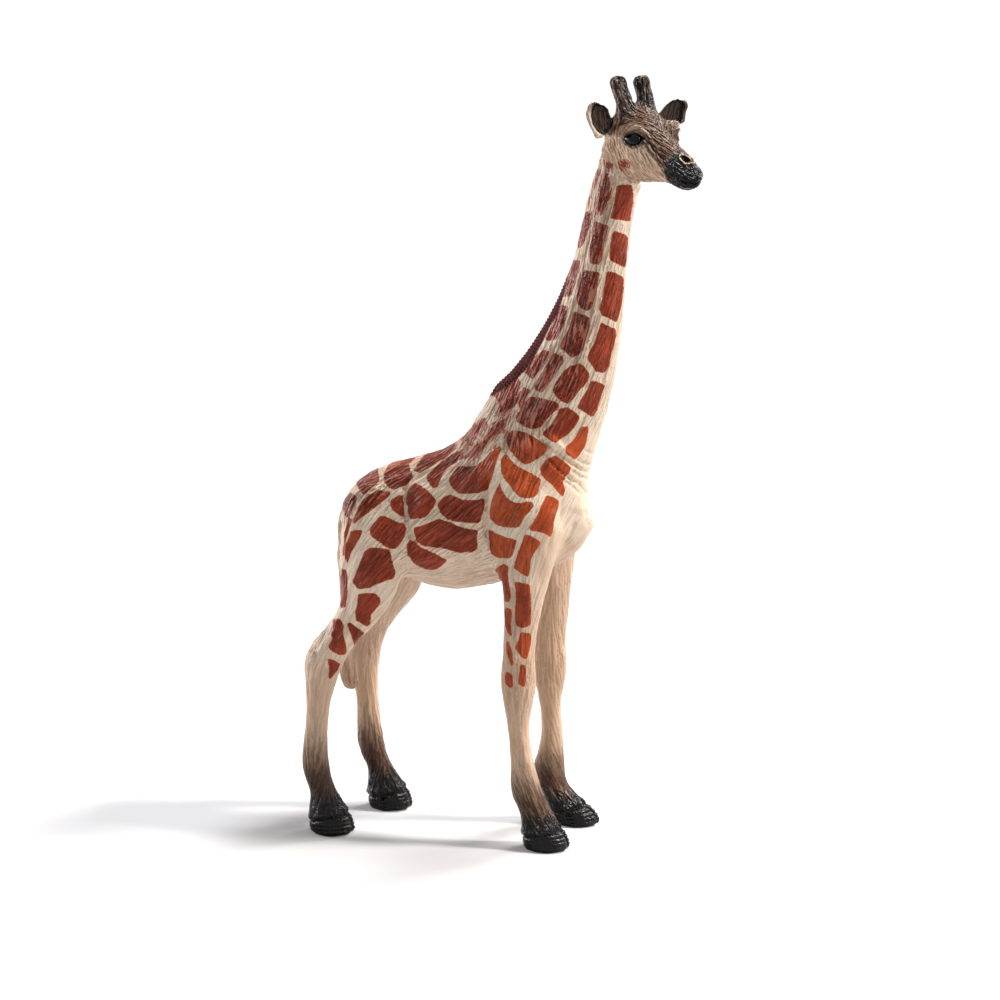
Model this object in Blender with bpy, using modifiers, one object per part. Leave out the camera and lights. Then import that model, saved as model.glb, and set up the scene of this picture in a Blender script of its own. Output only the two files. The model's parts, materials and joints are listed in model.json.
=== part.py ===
"""A standing toy giraffe, moulded in twelve pieces that plug into each other and are glued.

Metres, +Z up, +X to the animal's front, +Y to its left, the hooves on Z = 0 and the origin under
the middle of the figure. Its pieces are placed from the torso's own axes and hang on one empty.
Each soft form is a coarse cage of rings under one level of Subdivision Surface. The torso has a
pocket for each leg and a groove for the tail, the neck is parted from it at a slanting cut with
a peg across it, and the head has pockets for the neck's peg, the ears and the horns.
"""

import math

import bmesh
import bpy
from mathutils import Euler, Matrix, Vector

# Where the middle of the figure's box lies from the torso's own axes, so that it ends up at the origin
MIDDLE_AHEAD = -0.0006
MIDDLE_LEFT = -0.00125

# Fits between the moulded pieces
GLUE_GAP = 0.0003
PEG_PLAY = 0.0002
OVERRUN = 0.003

# Torso and the place of everything along it
RUMP_X = -0.0371
BELLY_HEIGHT = 0.053
BODY_LENGTH = 0.0536
BODY_DEPTH = 0.0296
BODY_WIDTH = 0.0212

# Neck, which rises from the foot of its front edge at the chest
NECK_REACH = 0.0274
NECK_RISE = 0.0797
NECK_WIDTH = 0.0146
MANE_RISE = 0.0011
NECK_CUT_TILT = math.radians(32.7)
NECK_PEG_RADIUS = 0.003
NECK_PEG_LENGTH = 0.006
POLL_PEG_RADIUS = 0.0016

# Head, turned to the animal's right
HEAD_LENGTH = 0.0262
HEAD_DEPTH = 0.0157
HEAD_WIDTH = 0.012
HEAD_TURN = math.radians(-40)
EYE_LENGTH = 0.0050
EYE_HEIGHT = 0.0027
EYE_THICKNESS = 0.0022

# Ears
EAR_LENGTH = 0.0081
EAR_HEIGHT = 0.0075
EAR_THICKNESS = 0.0017
EAR_RAISE = math.radians(20)
EAR_SWEEP = math.radians(-6)

# Ossicones, the blunt horns
HORN_LENGTH = 0.0069
HORN_RADIUS = 0.0018
HORN_ROOT = 0.0011
HORN_SPREAD = 0.0051
HORN_LEAN = math.radians(22.5)
HORN_SPLAY = math.radians(4)

# Forelegs
FORE_DEPTH = 0.0172
FORE_WIDTH = 0.0072
FORE_STANCE = 0.0188
FORE_STRIDE = 0.0023

# Hind legs
HIND_DEPTH = 0.0176
HIND_WIDTH = 0.0074
HIND_STANCE = 0.0204
HIND_STRIDE = 0.0068

# What the four legs share
LEG_PEG_RADIUS = 0.0015
LEG_PEG_LENGTH = 0.0022
CLEFT_WIDTH = 0.0008
CLEFT_LENGTH = 0.0042
CLEFT_HEIGHT = 0.0032

# Tail
TAIL_DROP = 0.0430
TAIL_THICKNESS = 0.0023
TAIL_WIDTH = 0.0024

# Sides of the cages and of the round pegs
TRUNK_SIDES = 12
LEG_SIDES = 10
EAR_SIDES = 8
TAIL_SIDES = 8
PEG_SIDES = 20
EYE_SEGMENTS = 16
EYE_RINGS = 8

# Points of a turned outline nearer than this are one
MERGE = 0.00001

# Each torso ring, rump to withers: its top and its bottom, as shares of the body's length forward
# of the rump and of its depth above the belly's height, then its half width as a share of its width
TORSO_SHARES = (
    (0.00, 0.46, 0.00, 0.25, 0.12),
    (0.013, 0.57, 0.02, 0.19, 0.27),
    (0.05, 0.69, 0.06, 0.145, 0.395),
    (0.12, 0.80, 0.13, 0.10, 0.455),
    (0.22, 0.875, 0.23, 0.05, 0.475),
    (0.33, 0.925, 0.34, -0.015, 0.495),
    (0.43, 0.99, 0.465, -0.06, 0.50),
    (0.503, 1.085, 0.585, 0.00, 0.485),
    (0.553, 1.205, 0.72, 0.055, 0.465),
    (0.588, 1.325, 0.875, 0.14, 0.44),
    (0.632, 1.45, 0.97, 0.285, 0.405),
    (0.683, 1.56, 1.03, 0.465, 0.375),
)
# Where the neck's rings are measured from, in the same shares
NECK_FOOT_SHARES = (0.69, 0.517)
# Each neck ring, base to poll: its back edge and its front edge as shares of the neck's reach and
# rise, its half width as a share of the neck's width, and how much of the mane it carries
NECK_SHARES = (
    (0.10, 0.43, 0.565, 0.077, 0.50, 0.3),
    (0.20, 0.475, 0.63, 0.16, 0.46, 0.9),
    (0.29, 0.525, 0.70, 0.24, 0.425, 1.0),
    (0.37, 0.58, 0.765, 0.325, 0.39, 1.0),
    (0.44, 0.64, 0.815, 0.42, 0.365, 0.9),
    (0.497, 0.70, 0.852, 0.523, 0.34, 0.6),
    (0.535, 0.765, 0.874, 0.63, 0.32, 0.4),
    (0.572, 0.825, 0.899, 0.73, 0.31, 0.3),
    (0.615, 0.887, 0.938, 0.825, 0.30, 0.3),
    (0.68, 0.945, 0.985, 0.91, 0.285, 0.0),
    (0.82, 0.985, 1.02, 0.975, 0.21, 0.0),
)
NECK_CUT_SHARES = (0.281, 0.216)
POLL_PEG_END_SHARES = (0.885, 0.992)
# Where the head's frame stands on the neck
HEAD_PLACE_SHARES = (0.843, 0.8783)

# Each head ring, poll to lips: its top and its bottom as shares of the head's length and depth,
# then its half width as a share of the head's width
HEAD_SHARES = (
    (0.00, 0.71, 0.015, 0.39, 0.25),
    (0.065, 0.885, 0.07, 0.16, 0.38),
    (0.195, 1.02, 0.185, 0.04, 0.445),
    (0.335, 1.00, 0.335, 0.03, 0.465),
    (0.465, 0.90, 0.465, 0.055, 0.46),
    (0.585, 0.72, 0.57, 0.085, 0.375),
    (0.70, 0.57, 0.68, 0.095, 0.29),
    (0.81, 0.49, 0.775, 0.06, 0.255),
    (0.90, 0.42, 0.86, 0.02, 0.27),
    (0.955, 0.33, 0.935, 0.035, 0.25),
    (1.00, 0.20, 0.985, 0.095, 0.165),
)
# How much of the head's length lies behind its frame's origin, and how much wider its brow is
HEAD_POLL_SHARE = 0.09
BROW_SHARE = 0.42
# Places on the head: shares of its length, its width to each side and its depth
EYE_PLACE_SHARES = (0.4335, 0.39, 0.63)
EAR_ROOT_SHARES = (0.215, 0.44, 0.75)
HORN_ROOT_SHARES = (0.258, 0.955)

# Each ear ring, root to tip: shares of the ear's length outwards and of its height upwards, then
# half its height, half its thickness and how far its rim curls forward
EAR_SHARES = (
    (-0.10, 0.00, 0.15, 0.50, 0.0),
    (0.10, 0.00, 0.20, 0.55, 0.0),
    (0.28, 0.00, 0.37, 0.50, 0.3),
    (0.50, 0.02, 0.48, 0.42, 0.4),
    (0.72, 0.06, 0.44, 0.38, 0.4),
    (0.90, 0.12, 0.28, 0.34, 0.3),
    (0.99, 0.16, 0.12, 0.28, 0.0),
)
# A horn's outline, tip to root: shares of its radius and of its length above the skull
HORN_SHARES = (
    (0.45, 1.00),
    (0.85, 0.965),
    (1.00, 0.89),
    (0.97, 0.76),
    (0.90, 0.60),
    (0.96, 0.30),
    (1.12, 0.00),
)

# Each leg ring, shoulder to hoof. Above the belly its height is a share of the body's depth, and
# from the belly down a share of the belly's height. Then how far forward it lies and half its
# depth, as shares of the leg's depth, half its width as a share of the leg's width, and how much
# of the left leg's stride it takes
FORE_TOP_SHARES = (
    (1.05, -0.35, 0.175, 0.19, 0.0),
    (0.84, -0.20, 0.37, 0.36, 0.0),
    (0.61, 0.00, 0.495, 0.46, 0.0),
    (0.37, 0.045, 0.45, 0.50, 0.0),
    (0.17, 0.025, 0.325, 0.50, 0.6),
)
FORE_SHARES = (
    (0.98, 0.01, 0.245, 0.47, 0.9),
    (0.87, -0.026, 0.209, 0.44, 1.2),
    (0.755, -0.055, 0.197, 0.44, 1.05),
    (0.68, -0.04, 0.225, 0.46, 1.05),
    (0.605, -0.048, 0.22, 0.41, 1.1),
    (0.51, -0.052, 0.128, 0.33, 1.1),
    (0.40, -0.022, 0.125, 0.31, 1.1),
    (0.30, 0.03, 0.157, 0.32, 0.7),
    (0.23, 0.053, 0.216, 0.39, 0.1),
    (0.17, 0.137, 0.19, 0.39, -0.3),
    (0.125, 0.222, 0.21, 0.46, -0.3),
    (0.075, 0.263, 0.268, 0.56, 0.3),
    (0.03, 0.33, 0.30, 0.60, 0.9),
    (-0.04, 0.335, 0.30, 0.60, 0.9),
)
HIND_TOP_SHARES = (
    (0.78, 0.055, 0.16, 0.19, 0.0),
    (0.64, 0.035, 0.29, 0.35, 0.0),
    (0.44, 0.025, 0.385, 0.45, 0.0),
    (0.24, 0.04, 0.42, 0.50, 0.0),
    (0.07, 0.095, 0.395, 0.50, 0.1),
)
HIND_SHARES = (
    (0.94, 0.045, 0.31, 0.47, 0.3),
    (0.85, -0.164, 0.279, 0.45, 0.25),
    (0.78, -0.36, 0.28, 0.43, 0.33),
    (0.715, -0.505, 0.268, 0.42, 0.45),
    (0.60, -0.55, 0.193, 0.38, 0.58),
    (0.51, -0.58, 0.136, 0.34, 0.74),
    (0.38, -0.608, 0.141, 0.32, 0.88),
    (0.28, -0.622, 0.183, 0.35, 0.93),
    (0.21, -0.583, 0.159, 0.36, 0.95),
    (0.15, -0.478, 0.152, 0.39, 1.0),
    (0.095, -0.462, 0.264, 0.51, 1.0),
    (0.03, -0.39, 0.285, 0.58, 1.0),
    (-0.04, -0.385, 0.29, 0.58, 1.0),
)
# Where each pair of legs stands along the body, and how far out it leaves it
FORE_PLACE_SHARE = 0.772
HIND_PLACE_SHARE = 0.138
FORE_OUT_SHARE = 0.363
HIND_OUT_SHARE = 0.382
# The leg ring, counted from the top, that carries the peg
PEG_RING = 3

# Each tail ring, dock to tuft: shares of its thickness ahead of the rump, of its drop below the
# dock, half its thickness and half its width
TAIL_SHARES = (
    (1.70, 0.00, 0.48, 0.46),
    (0.80, 0.00, 0.50, 0.50),
    (0.18, 0.07, 0.48, 0.50),
    (-0.13, 0.19, 0.43, 0.48),
    (-0.13, 0.33, 0.39, 0.42),
    (0.00, 0.47, 0.37, 0.38),
    (0.12, 0.62, 0.37, 0.38),
    (0.24, 0.765, 0.43, 0.42),
    (0.32, 0.86, 0.65, 0.54),
    (0.38, 0.95, 0.74, 0.58),
    (0.42, 1.00, 0.62, 0.50),
)
TAIL_DOCK_SHARE = 0.62

# Paints: colour, roughness
COAT = ((0.74, 0.62, 0.50, 1.0), 0.45)
PATCH = ((0.36, 0.09, 0.03, 1.0), 0.42)
HORN = ((0.09, 0.06, 0.05, 1.0), 0.40)
FACE = ((0.42, 0.32, 0.25, 1.0), 0.42)

RIGHT, LEFT = -1, 1
FIGURE = "figure"


def clear_scene():
    for old in list(bpy.data.objects):
        bpy.data.objects.remove(old)


def collection(name):
    made = bpy.data.collections.new(name)
    bpy.context.scene.collection.children.link(made)
    return made


def paint(name, finish):
    """A satin paint, with its colour and roughness."""
    material = bpy.data.materials.new(name)
    material.use_nodes = True
    surface = material.node_tree.nodes["Principled BSDF"]
    surface.inputs["Base Color"].default_value = finish[0]
    surface.inputs["Roughness"].default_value = finish[1]
    surface.inputs["Metallic"].default_value = 0.0
    return material


def put(name, mesh, group, material=None):
    """A new object with this mesh, in its collection, carried by the figure's empty."""
    made = bpy.data.objects.new(name, mesh)
    made.parent = bpy.data.objects[FIGURE]
    group.objects.link(made)
    if material:
        made.data.materials.append(material)
        made.data.shade_smooth()
    else:
        made.hide_render = True
        made.display_type = "WIRE"
    return made


def swell(sides):
    """How far a cage ring stands outside the curve that one subdivision makes of it."""
    return 8 / (6 + 2 * math.cos(math.tau / sides))


def ring_between(top, low, half_width, sides, lateral=Vector((0, 1, 0)), crest=0.0, brow=0.0, grow=0.0):
    """A cage ring round the line from low to top, half_width to each side of it.

    crest lifts its topmost point, brow widens its upper half, and grow moves it all outwards."""
    middle = (top + low) / 2
    upright = (top - low) / 2
    upright += upright.normalized() * grow
    points = []
    for number in range(sides):
        turn = math.tau * number / sides
        across = math.sin(turn) * (half_width + grow) * (1 + brow * math.cos(turn))
        point = middle + (math.cos(turn) * upright + across * lateral) * swell(sides)
        if number == 0:
            point += upright.normalized() * crest
        points.append(point)
    return points


def cage(name, rings):
    """A closed mesh through the rings, capped at both ends."""
    mesh = bpy.data.meshes.new(name)
    form = bmesh.new()
    rows = [[form.verts.new(point) for point in ring] for ring in rings]
    for near, far in zip(rows, rows[1:]):
        for number, vert in enumerate(near):
            after = (number + 1) % len(near)
            form.faces.new((vert, near[after], far[after], far[number]))
    form.faces.new(rows[0])
    form.faces.new(rows[-1])
    bmesh.ops.recalc_face_normals(form, faces=form.faces)
    form.to_mesh(mesh)
    form.free()
    return mesh


def soften(piece):
    """Rounds a cage."""
    smooth = piece.modifiers.new("smooth", "SUBSURF")
    smooth.levels = 1
    smooth.render_levels = 1
    return piece


def combine(piece, other, operation):
    change = piece.modifiers.new(operation.lower() + "_" + other.name, "BOOLEAN")
    change.operation = operation
    change.solver = "EXACT"
    change.object = other


def cut(piece, *cutters):
    for cutter in cutters:
        combine(piece, cutter, "DIFFERENCE")


def join(piece, *others):
    for other in others:
        combine(piece, other, "UNION")


def peg_between(name, start, end, radius, group):
    """A round peg from start to end."""
    form = bmesh.new()
    length = (end - start).length
    bmesh.ops.create_cone(
        form, cap_ends=True, segments=PEG_SIDES, radius1=radius, radius2=radius, depth=length
    )
    mesh = bpy.data.meshes.new(name)
    form.to_mesh(mesh)
    form.free()
    made = put(name, mesh, group)
    made.location = (start + end) / 2
    made.rotation_euler = (end - start).to_track_quat("Z", "Y").to_euler()
    return made


def box(name, centre, size, group, tilt=0.0):
    """A box cutter, tilted about the Y axis."""
    form = bmesh.new()
    bmesh.ops.create_cube(form, size=1)
    bmesh.ops.scale(form, vec=size, verts=form.verts)
    mesh = bpy.data.meshes.new(name)
    form.to_mesh(mesh)
    form.free()
    made = put(name, mesh, group)
    made.location = centre
    made.rotation_euler = (0, -tilt, 0)
    return made


def body_point(length_share, depth_share):
    """A point in the figure's middle plane, in shares of the body from the rump and the belly."""
    return Vector((RUMP_X + length_share * BODY_LENGTH, 0, BELLY_HEIGHT + depth_share * BODY_DEPTH))


def neck_point(reach_share, rise_share):
    """A point in the middle plane, in shares of the neck from its foot."""
    return body_point(*NECK_FOOT_SHARES) + Vector((reach_share * NECK_REACH, 0, rise_share * NECK_RISE))


def trunk_rings():
    """The rings of torso and neck as one form, which the neck cut parts."""
    rings = []
    for top_x, top_z, low_x, low_z, half in TORSO_SHARES:
        top, low = body_point(top_x, top_z), body_point(low_x, low_z)
        rings.append(ring_between(top, low, half * BODY_WIDTH, TRUNK_SIDES))
    for back_x, back_z, front_x, front_z, half, mane in NECK_SHARES:
        back, front = neck_point(back_x, back_z), neck_point(front_x, front_z)
        rings.append(ring_between(back, front, half * NECK_WIDTH, TRUNK_SIDES, crest=mane * MANE_RISE))
    return rings


def neck_axis(row):
    """The middle of one of the neck's rings."""
    back_x, back_z, front_x, front_z = NECK_SHARES[row][:4]
    return (neck_point(back_x, back_z) + neck_point(front_x, front_z)) / 2


def split_boxes(group):
    """Two boxes, one on each side of the neck cut, which each take half the gap off the other side."""
    middle = neck_point(*NECK_CUT_SHARES)
    normal = Vector((math.cos(NECK_CUT_TILT), 0, math.sin(NECK_CUT_TILT)))
    side = 2 * (BODY_LENGTH + NECK_RISE + HEAD_LENGTH)
    away = normal * (side - GLUE_GAP) / 2
    size = (side, side, side)
    beyond = box("neck_side", middle + away, size, group, NECK_CUT_TILT)
    behind = box("torso_side", middle - away, size, group, NECK_CUT_TILT)
    return middle, normal, beyond, behind


def head_place():
    """The head's frame: its origin lies below the poll at the jaw's level, its X axis forward."""
    return neck_point(*HEAD_PLACE_SHARES)


def head_matrix():
    return Matrix.Translation(head_place()) @ Matrix.Rotation(HEAD_TURN, 4, "Z")


def head_point(length_share, depth_share, side=0.0):
    """A point of the head in its own frame, side in metres to its left."""
    ahead = (length_share - HEAD_POLL_SHARE) * HEAD_LENGTH
    return Vector((ahead, side, depth_share * HEAD_DEPTH))


def head_rings(grow=0.0):
    rings = []
    last = len(HEAD_SHARES) - 1
    for number, (top_x, top_z, low_x, low_z, half) in enumerate(HEAD_SHARES):
        along = Vector((grow * ((number == last) - (number == 0)), 0, 0))
        top, low = head_point(top_x, top_z) + along, head_point(low_x, low_z) + along
        rings.append(
            ring_between(top, low, half * HEAD_WIDTH, TRUNK_SIDES, brow=BROW_SHARE, grow=grow)
        )
    return rings


def place_on_head(piece):
    piece.location = head_place()
    piece.rotation_euler = (0, 0, HEAD_TURN)
    return piece


def eye(side, group):
    """An eyeball, of which a dome stands out of the cheek."""
    form = bmesh.new()
    bmesh.ops.create_uvsphere(form, u_segments=EYE_SEGMENTS, v_segments=EYE_RINGS, radius=1)
    bmesh.ops.scale(
        form, vec=(EYE_LENGTH / 2, EYE_THICKNESS / 2, EYE_HEIGHT / 2), verts=form.verts
    )
    along, out, up = EYE_PLACE_SHARES
    bmesh.ops.translate(form, vec=head_point(along, up, side * out * HEAD_WIDTH), verts=form.verts)
    mesh = bpy.data.meshes.new("eyeball")
    form.to_mesh(mesh)
    form.free()
    return place_on_head(put("eyeball" + side_name(side), mesh, group))


def side_name(side):
    return "_left" if side == LEFT else "_right"


def ear_rings(side, grow=0.0):
    """The ear's rings in the head's frame: a leaf whose rim curls forward."""
    along, out, up = EAR_ROOT_SHARES
    root = head_point(along, up, side * out * HEAD_WIDTH)
    turn = Euler((side * EAR_RAISE, 0, side * EAR_SWEEP)).to_matrix()
    rings = []
    last = len(EAR_SHARES) - 1
    for number, (outward, rise, half_height, half_thickness, curl) in enumerate(EAR_SHARES):
        ends = grow * ((number == last) - (number == 0))
        high = half_height * EAR_HEIGHT + grow
        thick = half_thickness * EAR_THICKNESS + grow
        ring = []
        for corner in range(EAR_SIDES):
            angle = math.tau * corner / EAR_SIDES
            tall, deep = math.cos(angle) * swell(EAR_SIDES), math.sin(angle) * swell(EAR_SIDES)
            local = Vector(
                (
                    deep * thick + curl * half_height * EAR_HEIGHT * tall * tall,
                    side * (outward * EAR_LENGTH + ends),
                    rise * EAR_HEIGHT + tall * high,
                )
            )
            ring.append(root + turn @ local)
        rings.append(ring)
    return rings


def horn_mesh(name, grow=0.0):
    """The outline that the Screw turns into a horn, root down."""
    outline = [(0, HORN_LENGTH + grow)]
    for radius_share, length_share in HORN_SHARES:
        outline.append((radius_share * HORN_RADIUS + grow, length_share * HORN_LENGTH))
    foot_radius = HORN_SHARES[-1][0] * HORN_RADIUS + grow
    outline.append((foot_radius, -HORN_ROOT - grow))
    outline.append((0, -HORN_ROOT - grow))
    mesh = bpy.data.meshes.new(name)
    form = bmesh.new()
    verts = [form.verts.new((radius, 0, height)) for radius, height in outline]
    for first, second in zip(verts, verts[1:]):
        form.edges.new((first, second))
    form.to_mesh(mesh)
    form.free()
    return mesh


def horn(name, side, group, material=None, grow=0.0):
    made = put(name, horn_mesh(name, grow), group, material)
    turned = made.modifiers.new("turned", "SCREW")
    turned.axis = "Z"
    turned.angle = math.tau
    turned.steps = PEG_SIDES
    turned.render_steps = PEG_SIDES
    turned.use_merge_vertices = True
    turned.merge_threshold = MERGE
    turned.use_smooth_shade = True
    along, up = HORN_ROOT_SHARES
    root = head_matrix() @ head_point(along, up, side * HORN_SPREAD / 2)
    made.location = root
    made.rotation_euler = (-side * HORN_SPLAY, -HORN_LEAN, HEAD_TURN)
    return made


def leg_stations(top_shares, low_shares):
    """Each ring's height, then its other shares, from the shoulder or hip down."""
    stations = []
    for up, *rest in top_shares:
        stations.append((BELLY_HEIGHT + up * BODY_DEPTH, *rest))
    for up, *rest in low_shares:
        stations.append((up * BELLY_HEIGHT, *rest))
    return stations


def leg_rings(stations, place, depth, width, outs, stride, side, grow=0.0):
    """A leg's rings: level ovals, outs[0] from the middle plane at the hoof and outs[1] at the top."""
    rings = []
    last = len(stations) - 1
    for number, (height, forward, half_depth, half_width, step) in enumerate(stations):
        spread = min(max(height / BELLY_HEIGHT, 0), 1)
        ahead = step * stride * (side == LEFT)
        centre = Vector(
            (
                place + forward * depth + ahead,
                side * (outs[0] + (outs[1] - outs[0]) * spread),
                height + grow * ((number == 0) - (number == last)),
            )
        )
        ring = []
        for corner in range(LEG_SIDES):
            turn = math.tau * corner / LEG_SIDES
            reach = Vector(
                (
                    math.cos(turn) * (half_depth * depth + grow),
                    math.sin(turn) * (half_width * width + grow),
                    0,
                )
            )
            ring.append(centre + reach * swell(LEG_SIDES))
        rings.append(ring)
    return rings


LEGS = {
    "foreleg": {
        "stations": leg_stations(FORE_TOP_SHARES, FORE_SHARES),
        "place": RUMP_X + FORE_PLACE_SHARE * BODY_LENGTH,
        "depth": FORE_DEPTH,
        "width": FORE_WIDTH,
        "outs": (FORE_STANCE / 2, FORE_OUT_SHARE * BODY_WIDTH),
        "stride": FORE_STRIDE,
    },
    "hindleg": {
        "stations": leg_stations(HIND_TOP_SHARES, HIND_SHARES),
        "place": RUMP_X + HIND_PLACE_SHARE * BODY_LENGTH,
        "depth": HIND_DEPTH,
        "width": HIND_WIDTH,
        "outs": (HIND_STANCE / 2, HIND_OUT_SHARE * BODY_WIDTH),
        "stride": HIND_STRIDE,
    },
}


def leg(name, side, parts, cutters, material, ground):
    """A leg with its peg and cloven hoof. Gives the leg and the two cutters that seat it."""
    facts = LEGS[name]
    title = name + side_name(side)
    made = soften(put(title, cage(title, leg_rings(side=side, **facts)), parts, material))
    pocket = soften(
        put(title + "_pocket", cage(title, leg_rings(side=side, grow=GLUE_GAP, **facts)), cutters)
    )
    cut(made, ground)
    _, forward, half_depth, _, step = facts["stations"][-1]
    toe = facts["place"] + (forward + half_depth) * facts["depth"]
    toe += step * facts["stride"] * (side == LEFT)
    slot = (CLEFT_LENGTH + OVERRUN, CLEFT_WIDTH, CLEFT_HEIGHT + OVERRUN)
    centre = (
        toe - CLEFT_LENGTH + slot[0] / 2,
        side * facts["outs"][0],
        CLEFT_HEIGHT - slot[2] / 2,
    )
    cut(made, box(title + "_cleft", centre, slot, cutters))
    peg_height, forward, _, half_width, _ = facts["stations"][PEG_RING]
    out = facts["outs"][1]
    root = Vector((facts["place"] + forward * facts["depth"], side * out, peg_height))
    face = out - half_width * facts["width"]
    end = Vector((root.x, side * (face - LEG_PEG_LENGTH), root.z))
    deeper = Vector((0, -side * PEG_PLAY, 0))
    join(made, peg_between(title + "_peg", root, end, LEG_PEG_RADIUS, cutters))
    socket = peg_between(title + "_socket", root, end + deeper, LEG_PEG_RADIUS + PEG_PLAY, cutters)
    return [pocket, socket]


def tail_rings(grow=0.0):
    """The tail's rings, each square to the line that the tail hangs along."""
    centres = []
    for ahead, drop, _, _ in TAIL_SHARES:
        dock = BELLY_HEIGHT + TAIL_DOCK_SHARE * BODY_DEPTH
        centres.append(Vector((RUMP_X + ahead * TAIL_THICKNESS, 0, dock - drop * TAIL_DROP)))
    rings = []
    last = len(centres) - 1
    for number, (_, _, half_thickness, half_width) in enumerate(TAIL_SHARES):
        along = (centres[min(number + 1, last)] - centres[max(number - 1, 0)]).normalized()
        back = along.cross(Vector((0, 1, 0)))
        reach = back * half_thickness * TAIL_THICKNESS
        centre = centres[number] + along * grow * ((number == last) - (number == 0))
        rings.append(
            ring_between(
                centre + reach, centre - reach, half_width * TAIL_WIDTH, TAIL_SIDES, grow=grow
            )
        )
    return rings


def main():
    clear_scene()
    parts = collection("toy_giraffe")
    cutters = collection("cutters")
    figure = bpy.data.objects.new(FIGURE, None)
    figure.location = (-MIDDLE_AHEAD, -MIDDLE_LEFT, 0)
    parts.objects.link(figure)
    coat = paint("coat_paint", COAT)
    patch = paint("patch_paint", PATCH)
    dark = paint("horn_paint", HORN)
    face = paint("face_paint", FACE)

    side = 2 * (BODY_LENGTH + HEAD_LENGTH)
    ground = box("ground", (0, 0, -side / 2), (2 * side, 2 * side, side), cutters)

    torso = soften(put("torso", cage("torso", trunk_rings()), parts, patch))
    neck = soften(put("neck", cage("neck", trunk_rings()), parts, patch))
    head = place_on_head(soften(put("head", cage("head", head_rings()), parts, face)))
    skull = place_on_head(soften(put("skull", cage("skull", head_rings(GLUE_GAP)), cutters)))

    middle, normal, beyond, behind = split_boxes(cutters)
    cut(torso, beyond)
    cut(neck, behind, skull)

    inside = middle + normal * OVERRUN
    tip = middle - normal * NECK_PEG_LENGTH
    join(neck, peg_between("neck_peg", inside, tip, NECK_PEG_RADIUS, cutters))
    play = normal * PEG_PLAY
    cut(torso, peg_between("neck_socket", inside, tip - play, NECK_PEG_RADIUS + PEG_PLAY, cutters))

    low, high = neck_axis(-4), neck_point(*POLL_PEG_END_SHARES)
    rise = (high - low).normalized() * PEG_PLAY
    join(neck, peg_between("poll_peg", low, high, POLL_PEG_RADIUS, cutters))
    cut(head, peg_between("poll_socket", low, high + rise, POLL_PEG_RADIUS + PEG_PLAY, cutters))

    for name in LEGS:
        for which in (RIGHT, LEFT):
            cut(torso, *leg(name, which, parts, cutters, coat, ground))

    for which in (RIGHT, LEFT):
        ear = "ear" + side_name(which)
        place_on_head(soften(put(ear, cage(ear, ear_rings(which)), parts, dark)))
        pocket = soften(put(ear + "_pocket", cage(ear, ear_rings(which, GLUE_GAP)), cutters))
        cut(head, place_on_head(pocket))
        title = "ossicone" + side_name(which)
        horn(title, which, parts, dark)
        cut(head, horn(title + "_socket", which, cutters, grow=GLUE_GAP))
        join(head, eye(which, cutters))

    soften(put("tail", cage("tail", tail_rings()), parts, coat))
    cut(torso, soften(put("tail_groove", cage("tail", tail_rings(GLUE_GAP)), cutters)))


main()
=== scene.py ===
# %% [markdown]
# # A moulded toy giraffe, made around its CAD frame
# The real figure is a soft plastic toy, 16 cm tall. Its torso, neck, head, legs, ears, horns and tail are moulded
# apart, glued together, and painted so that hardly a joint shows. The CAD model, which the frame loads, holds those
# twelve pieces with their true sizes. This lesson gives them a hide, eyes and paint, in the same places.
#
# A moulded animal has no flat face, so it is sculpted: the CAD pieces are copied and fused to one smooth skin, the
# skin is carved with strokes, and then it is cut up again along the same joints, one piece for each CAD node.

# %% Load the frame
import json
import math

import bpy
import numpy as np
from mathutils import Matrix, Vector
from mathutils.bvhtree import BVHTree

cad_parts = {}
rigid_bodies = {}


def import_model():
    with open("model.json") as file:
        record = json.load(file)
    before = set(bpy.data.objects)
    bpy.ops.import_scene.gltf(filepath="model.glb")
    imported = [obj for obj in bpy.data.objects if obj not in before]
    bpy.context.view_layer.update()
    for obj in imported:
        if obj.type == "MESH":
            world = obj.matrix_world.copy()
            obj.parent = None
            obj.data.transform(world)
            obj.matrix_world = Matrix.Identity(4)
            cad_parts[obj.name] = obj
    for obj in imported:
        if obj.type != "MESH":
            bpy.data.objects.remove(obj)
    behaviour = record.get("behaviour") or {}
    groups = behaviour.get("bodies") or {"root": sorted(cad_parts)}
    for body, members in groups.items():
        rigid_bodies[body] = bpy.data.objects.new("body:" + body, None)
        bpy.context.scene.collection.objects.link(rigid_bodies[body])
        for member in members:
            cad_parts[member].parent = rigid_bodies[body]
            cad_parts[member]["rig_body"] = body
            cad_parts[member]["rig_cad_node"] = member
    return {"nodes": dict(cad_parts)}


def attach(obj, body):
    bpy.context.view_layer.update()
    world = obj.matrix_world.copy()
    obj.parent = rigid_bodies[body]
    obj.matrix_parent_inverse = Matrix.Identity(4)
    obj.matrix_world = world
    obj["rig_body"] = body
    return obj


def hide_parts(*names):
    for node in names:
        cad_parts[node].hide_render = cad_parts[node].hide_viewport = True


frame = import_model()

MM = 0.001
scene = bpy.context.scene
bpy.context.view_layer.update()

# %% [markdown]
# ## The camera
# The photograph was taken from the toy's right, a little ahead of it and a little above, with a long lens. The same
# camera also serves the sculptor: a stroke or a patch of the coat is named by its pixels in the photograph, and the
# camera says which part of the skin lies there.

# %% Camera
CAMERA_AT = (179.07, -674.90, 222.0)
CAMERA_AIM = (-2.1, 1.25, 71.5)
LENS = 124.2
SENSOR = 36.0
FRAME_PIXELS = 1000
CLIP_START = 0.05

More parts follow.
